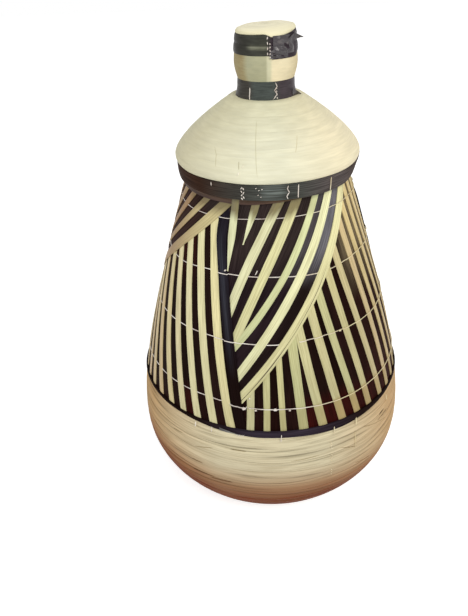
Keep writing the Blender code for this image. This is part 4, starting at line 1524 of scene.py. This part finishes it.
def knob_disc():
    """Pale domed disc on top, a little darker at its edge, which droops at the right."""
    edge = ((0.0, 0.0), (0.0242, 0.0), (0.0249, 0.0006), (0.0248, 0.0018), (0.0237, 0.0032), (0.0203, 0.0042))
    section = [(radius, KNOB_CAP + above) for radius, above in edge]
    section += [(0.0130, KNOB_TOP - 0.0002), (0.0, KNOB_TOP)]

    def place(u, v):
        radius, z = section[round(v * (len(section) - 1))]
        angle = front_angle(360.0 * u)
        stain_and_light = tinted("#E8E1BE", ("#F8F1D4", ease(z, KNOB_CAP + 0.002, KNOB_TOP)))
        on_top = radius < 0.0245 and z > KNOB_CAP
        uneven = 0.0003 * hand_noise(angle, 2.0, radius * 100.0) if on_top else 0.0
        droop = ease(radius, 0.0200, 0.0242) * ease(angle, -2.0, 12.0) * fade(angle, 24.0, 76.0)
        z = settled(angle, radius, z) + uneven - 0.0026 * droop
        radius += 0.0013 * droop if z < KNOB_CAP + 0.003 else 0.0
        return round_point(angle, radius, z), (radius, u * 0.15), stain_and_light

    disc = close_seams(laid_sheet(72, len(section) - 1, place))
    disc.name = "knob_disc"
    finish_piece(smooth_piece(disc, 55.0), lid_fibre, "lid", "lid_splint", "knob_cap")


def make_knob():
    """Knob: black foot wrap, pale waist wrap, two black upper wraps, a pale disc and loose strip ends."""
    head_line = lift_line(knob_upper_line, 0.0002)
    wraps = (
        ("foot", knob_foot_line, KNOB_FOOT, KNOB_NECK, 0.0014, 0.0004, 10, knob_foot_stain_and_sheen, black, None),
        ("waist", knob_waist_line, KNOB_NECK, KNOB_BELLY, 0.0016, 0.0, 12, waist_stain_and_highlight, lid_fibre, lapped),
        ("upper", head_line, KNOB_BELLY - 0.0004, KNOB_UPPER, 0.0014, 0.0005, 6, head_stain_and_sheen, black, hanging),
    )
    for part, line, low, high, thickness, crown, count, stain_and_light, look, change in wraps:
        rows = strap_rows(line, low, high, thickness, crown, count)
        ends = ("lid_splint" if part == "waist" else "black_splint", f"knob_{part}_wrap")
        name = f"knob_{part}_wrapping"
        lay_ring(name, rows, stain_and_light, look, "lid", *ends, change=change, segments=KNOB_SEGMENTS)
    rows = strap_rows(knob_upper_line, KNOB_UPPER, KNOB_CAP, 0.0016, 0.0005)
    top = turned_ring("knob_top_wrapping", rows, KNOB_SEGMENTS)
    stain_and_light_ring(top, head_stain_and_sheen)
    bend_ring(top, lambda angle, radius, z: (radius, settled(angle, radius, z)))
    finish_piece(smooth_piece(top), black, "lid", "black_splint", "knob_top_wrap")
    knob_disc()
    glossy, tip = "#342D32", "#4A4545"
    ends = [crumpled(35.0, 0.4532, 0.0200, 0.0140, 2.0, 0.0012, glossy)]
    ends += [crumpled(24.0, 0.4465, 0.0150, 0.0060, 7.0, 0.0014, glossy)]
    ends += [tail(knob_upper_line, (54.0, 0.4585), (65.0, 0.4570), 0.0075, 0.0060, 0.003, glossy, tip)]
    ends += [tail(knob_upper_line, (44.0, 0.4540), (58.0, 0.4620), 0.006, 0.0030, 0.002, glossy, tip)]
    ends += [tail(knob_foot_line, (58.0, 0.4142), (79.0, 0.4106), 0.0072, 0.0020, 0.003, glossy, tip)]
    whole = thicken(joined(ends, "knob_strip_ends"), STRIP_THICKNESS)
    finish_piece(smooth_piece(whole, 80.0), crushed, "lid", "black_splint")


for unit in range(len(UNIT_TURNS)):
    lay_unit(unit)
make_coils()
make_bowl()
make_lid_cone()
make_hoops()
make_threads()
make_knob()
finish_lines(basket_stitches(), "basket_stitches", cotton, "basket", "white_thread")
finish_lines(lid_stitches(), "lid_stitches", cotton, "lid", "white_thread")

# The solid core inside the knob keeps its CAD mesh
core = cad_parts["knob_core"].data.materials
core.clear()
core.append(coil)


# Floor, light and camera


def add_seen_rays(tree):
    """Rays from the camera, and those that gloss or glass sends on, see the white studio."""
    rays = add_node(tree, "ShaderNodeLightPath").outputs
    seen = rays["Is Camera Ray"]
    for other in ("Is Glossy Ray", "Is Transmission Ray"):
        seen = add_node(tree, "ShaderNodeMath", {0: seen, 1: rays[other]}, operation="MAXIMUM").outputs[0]
    return seen


# How brightly the white floor glows to the eye, and how much light the white studio gives
FLOOR_GLOW = 0.62
STUDIO_LIGHT = 0.56


def floor_material():
    """Pale studio floor that looks white and keeps the basket's soft shadow."""
    material, tree, shader = new_material("pale_studio_floor", Roughness=0.9, Specular_IOR_Level=0.1)
    shader.inputs["Base Color"].default_value = linear("#F4F4F4")
    strength = ranged(tree, add_seen_rays(tree), 0.0, 1.0, 0.0, FLOOR_GLOW)
    glow = add_node(tree, "ShaderNodeEmission", {"Color": linear("#FFFFFF"), "Strength": strength})
    both = add_node(tree, "ShaderNodeAddShader", {0: shader.outputs[0], 1: glow.outputs[0]})
    tree.links.new(both.outputs[0], tree.nodes["Material Output"].inputs["Surface"])
    return material


clear_selection()
bpy.ops.mesh.primitive_plane_add(size=8.0, location=(0.0, 0.0, -0.0002))
floor = bpy.context.object
floor.name = "studio_floor"
floor.data.materials.append(floor_material())

world = bpy.data.worlds.new("studio_world")
bpy.context.scene.world = world
world.use_nodes = True
tree = world.node_tree
tree.nodes.clear()
strength = ranged(tree, add_seen_rays(tree), 0.0, 1.0, STUDIO_LIGHT, 1.0)
glow = add_node(tree, "ShaderNodeBackground", {"Color": linear("#FFFFFF"), "Strength": strength})
add_node(tree, "ShaderNodeOutputWorld", {"Surface": glow.outputs[0]})


def add_lamp(name, location, size, power, colour, target=(0.0, 0.0, 0.25)):
    """Soft square studio lamp aimed at the basket."""
    data = bpy.data.lights.new(name, "AREA")
    data.size = size
    data.energy = power
    data.color = linear(colour)[:3]
    lamp = bpy.data.objects.new(name, data)
    bpy.context.scene.collection.objects.link(lamp)
    lamp.location = location
    lamp.rotation_euler = (Vector(target) - Vector(location)).to_track_quat("-Z", "Y").to_euler()
    return lamp


add_lamp("key_lamp", (0.7, -1.4, 1.5), 0.9, 19.0, "#FFFDF6")
add_lamp("fill_lamp", (-1.4, -0.9, 0.7), 1.2, 6.0, "#FFFFFF")

camera_data = bpy.data.cameras.new("camera")
camera = bpy.data.objects.new("camera", camera_data)
bpy.context.scene.collection.objects.link(camera)
bpy.context.scene.camera = camera
PHOTO_HEIGHT_PX = 616.0
FOCAL_PX = 660.0
CAMERA_PLACE = (0.0, -0.5803, 0.5470)
camera_data.sensor_width = 36.0
camera_data.lens = FOCAL_PX / PHOTO_HEIGHT_PX * camera_data.sensor_width
camera_data.clip_start = 0.02
pitch, yaw, roll = math.radians(31.163), math.radians(3.535), math.radians(-2.582)
aim = Euler((math.pi / 2.0 - pitch, 0.0, yaw)).to_matrix().to_4x4() @ Matrix.Rotation(roll, 4, "Z")
camera.matrix_world = Matrix.Translation(CAMERA_PLACE) @ aim

bpy.context.scene.view_settings.view_transform = "Standard"
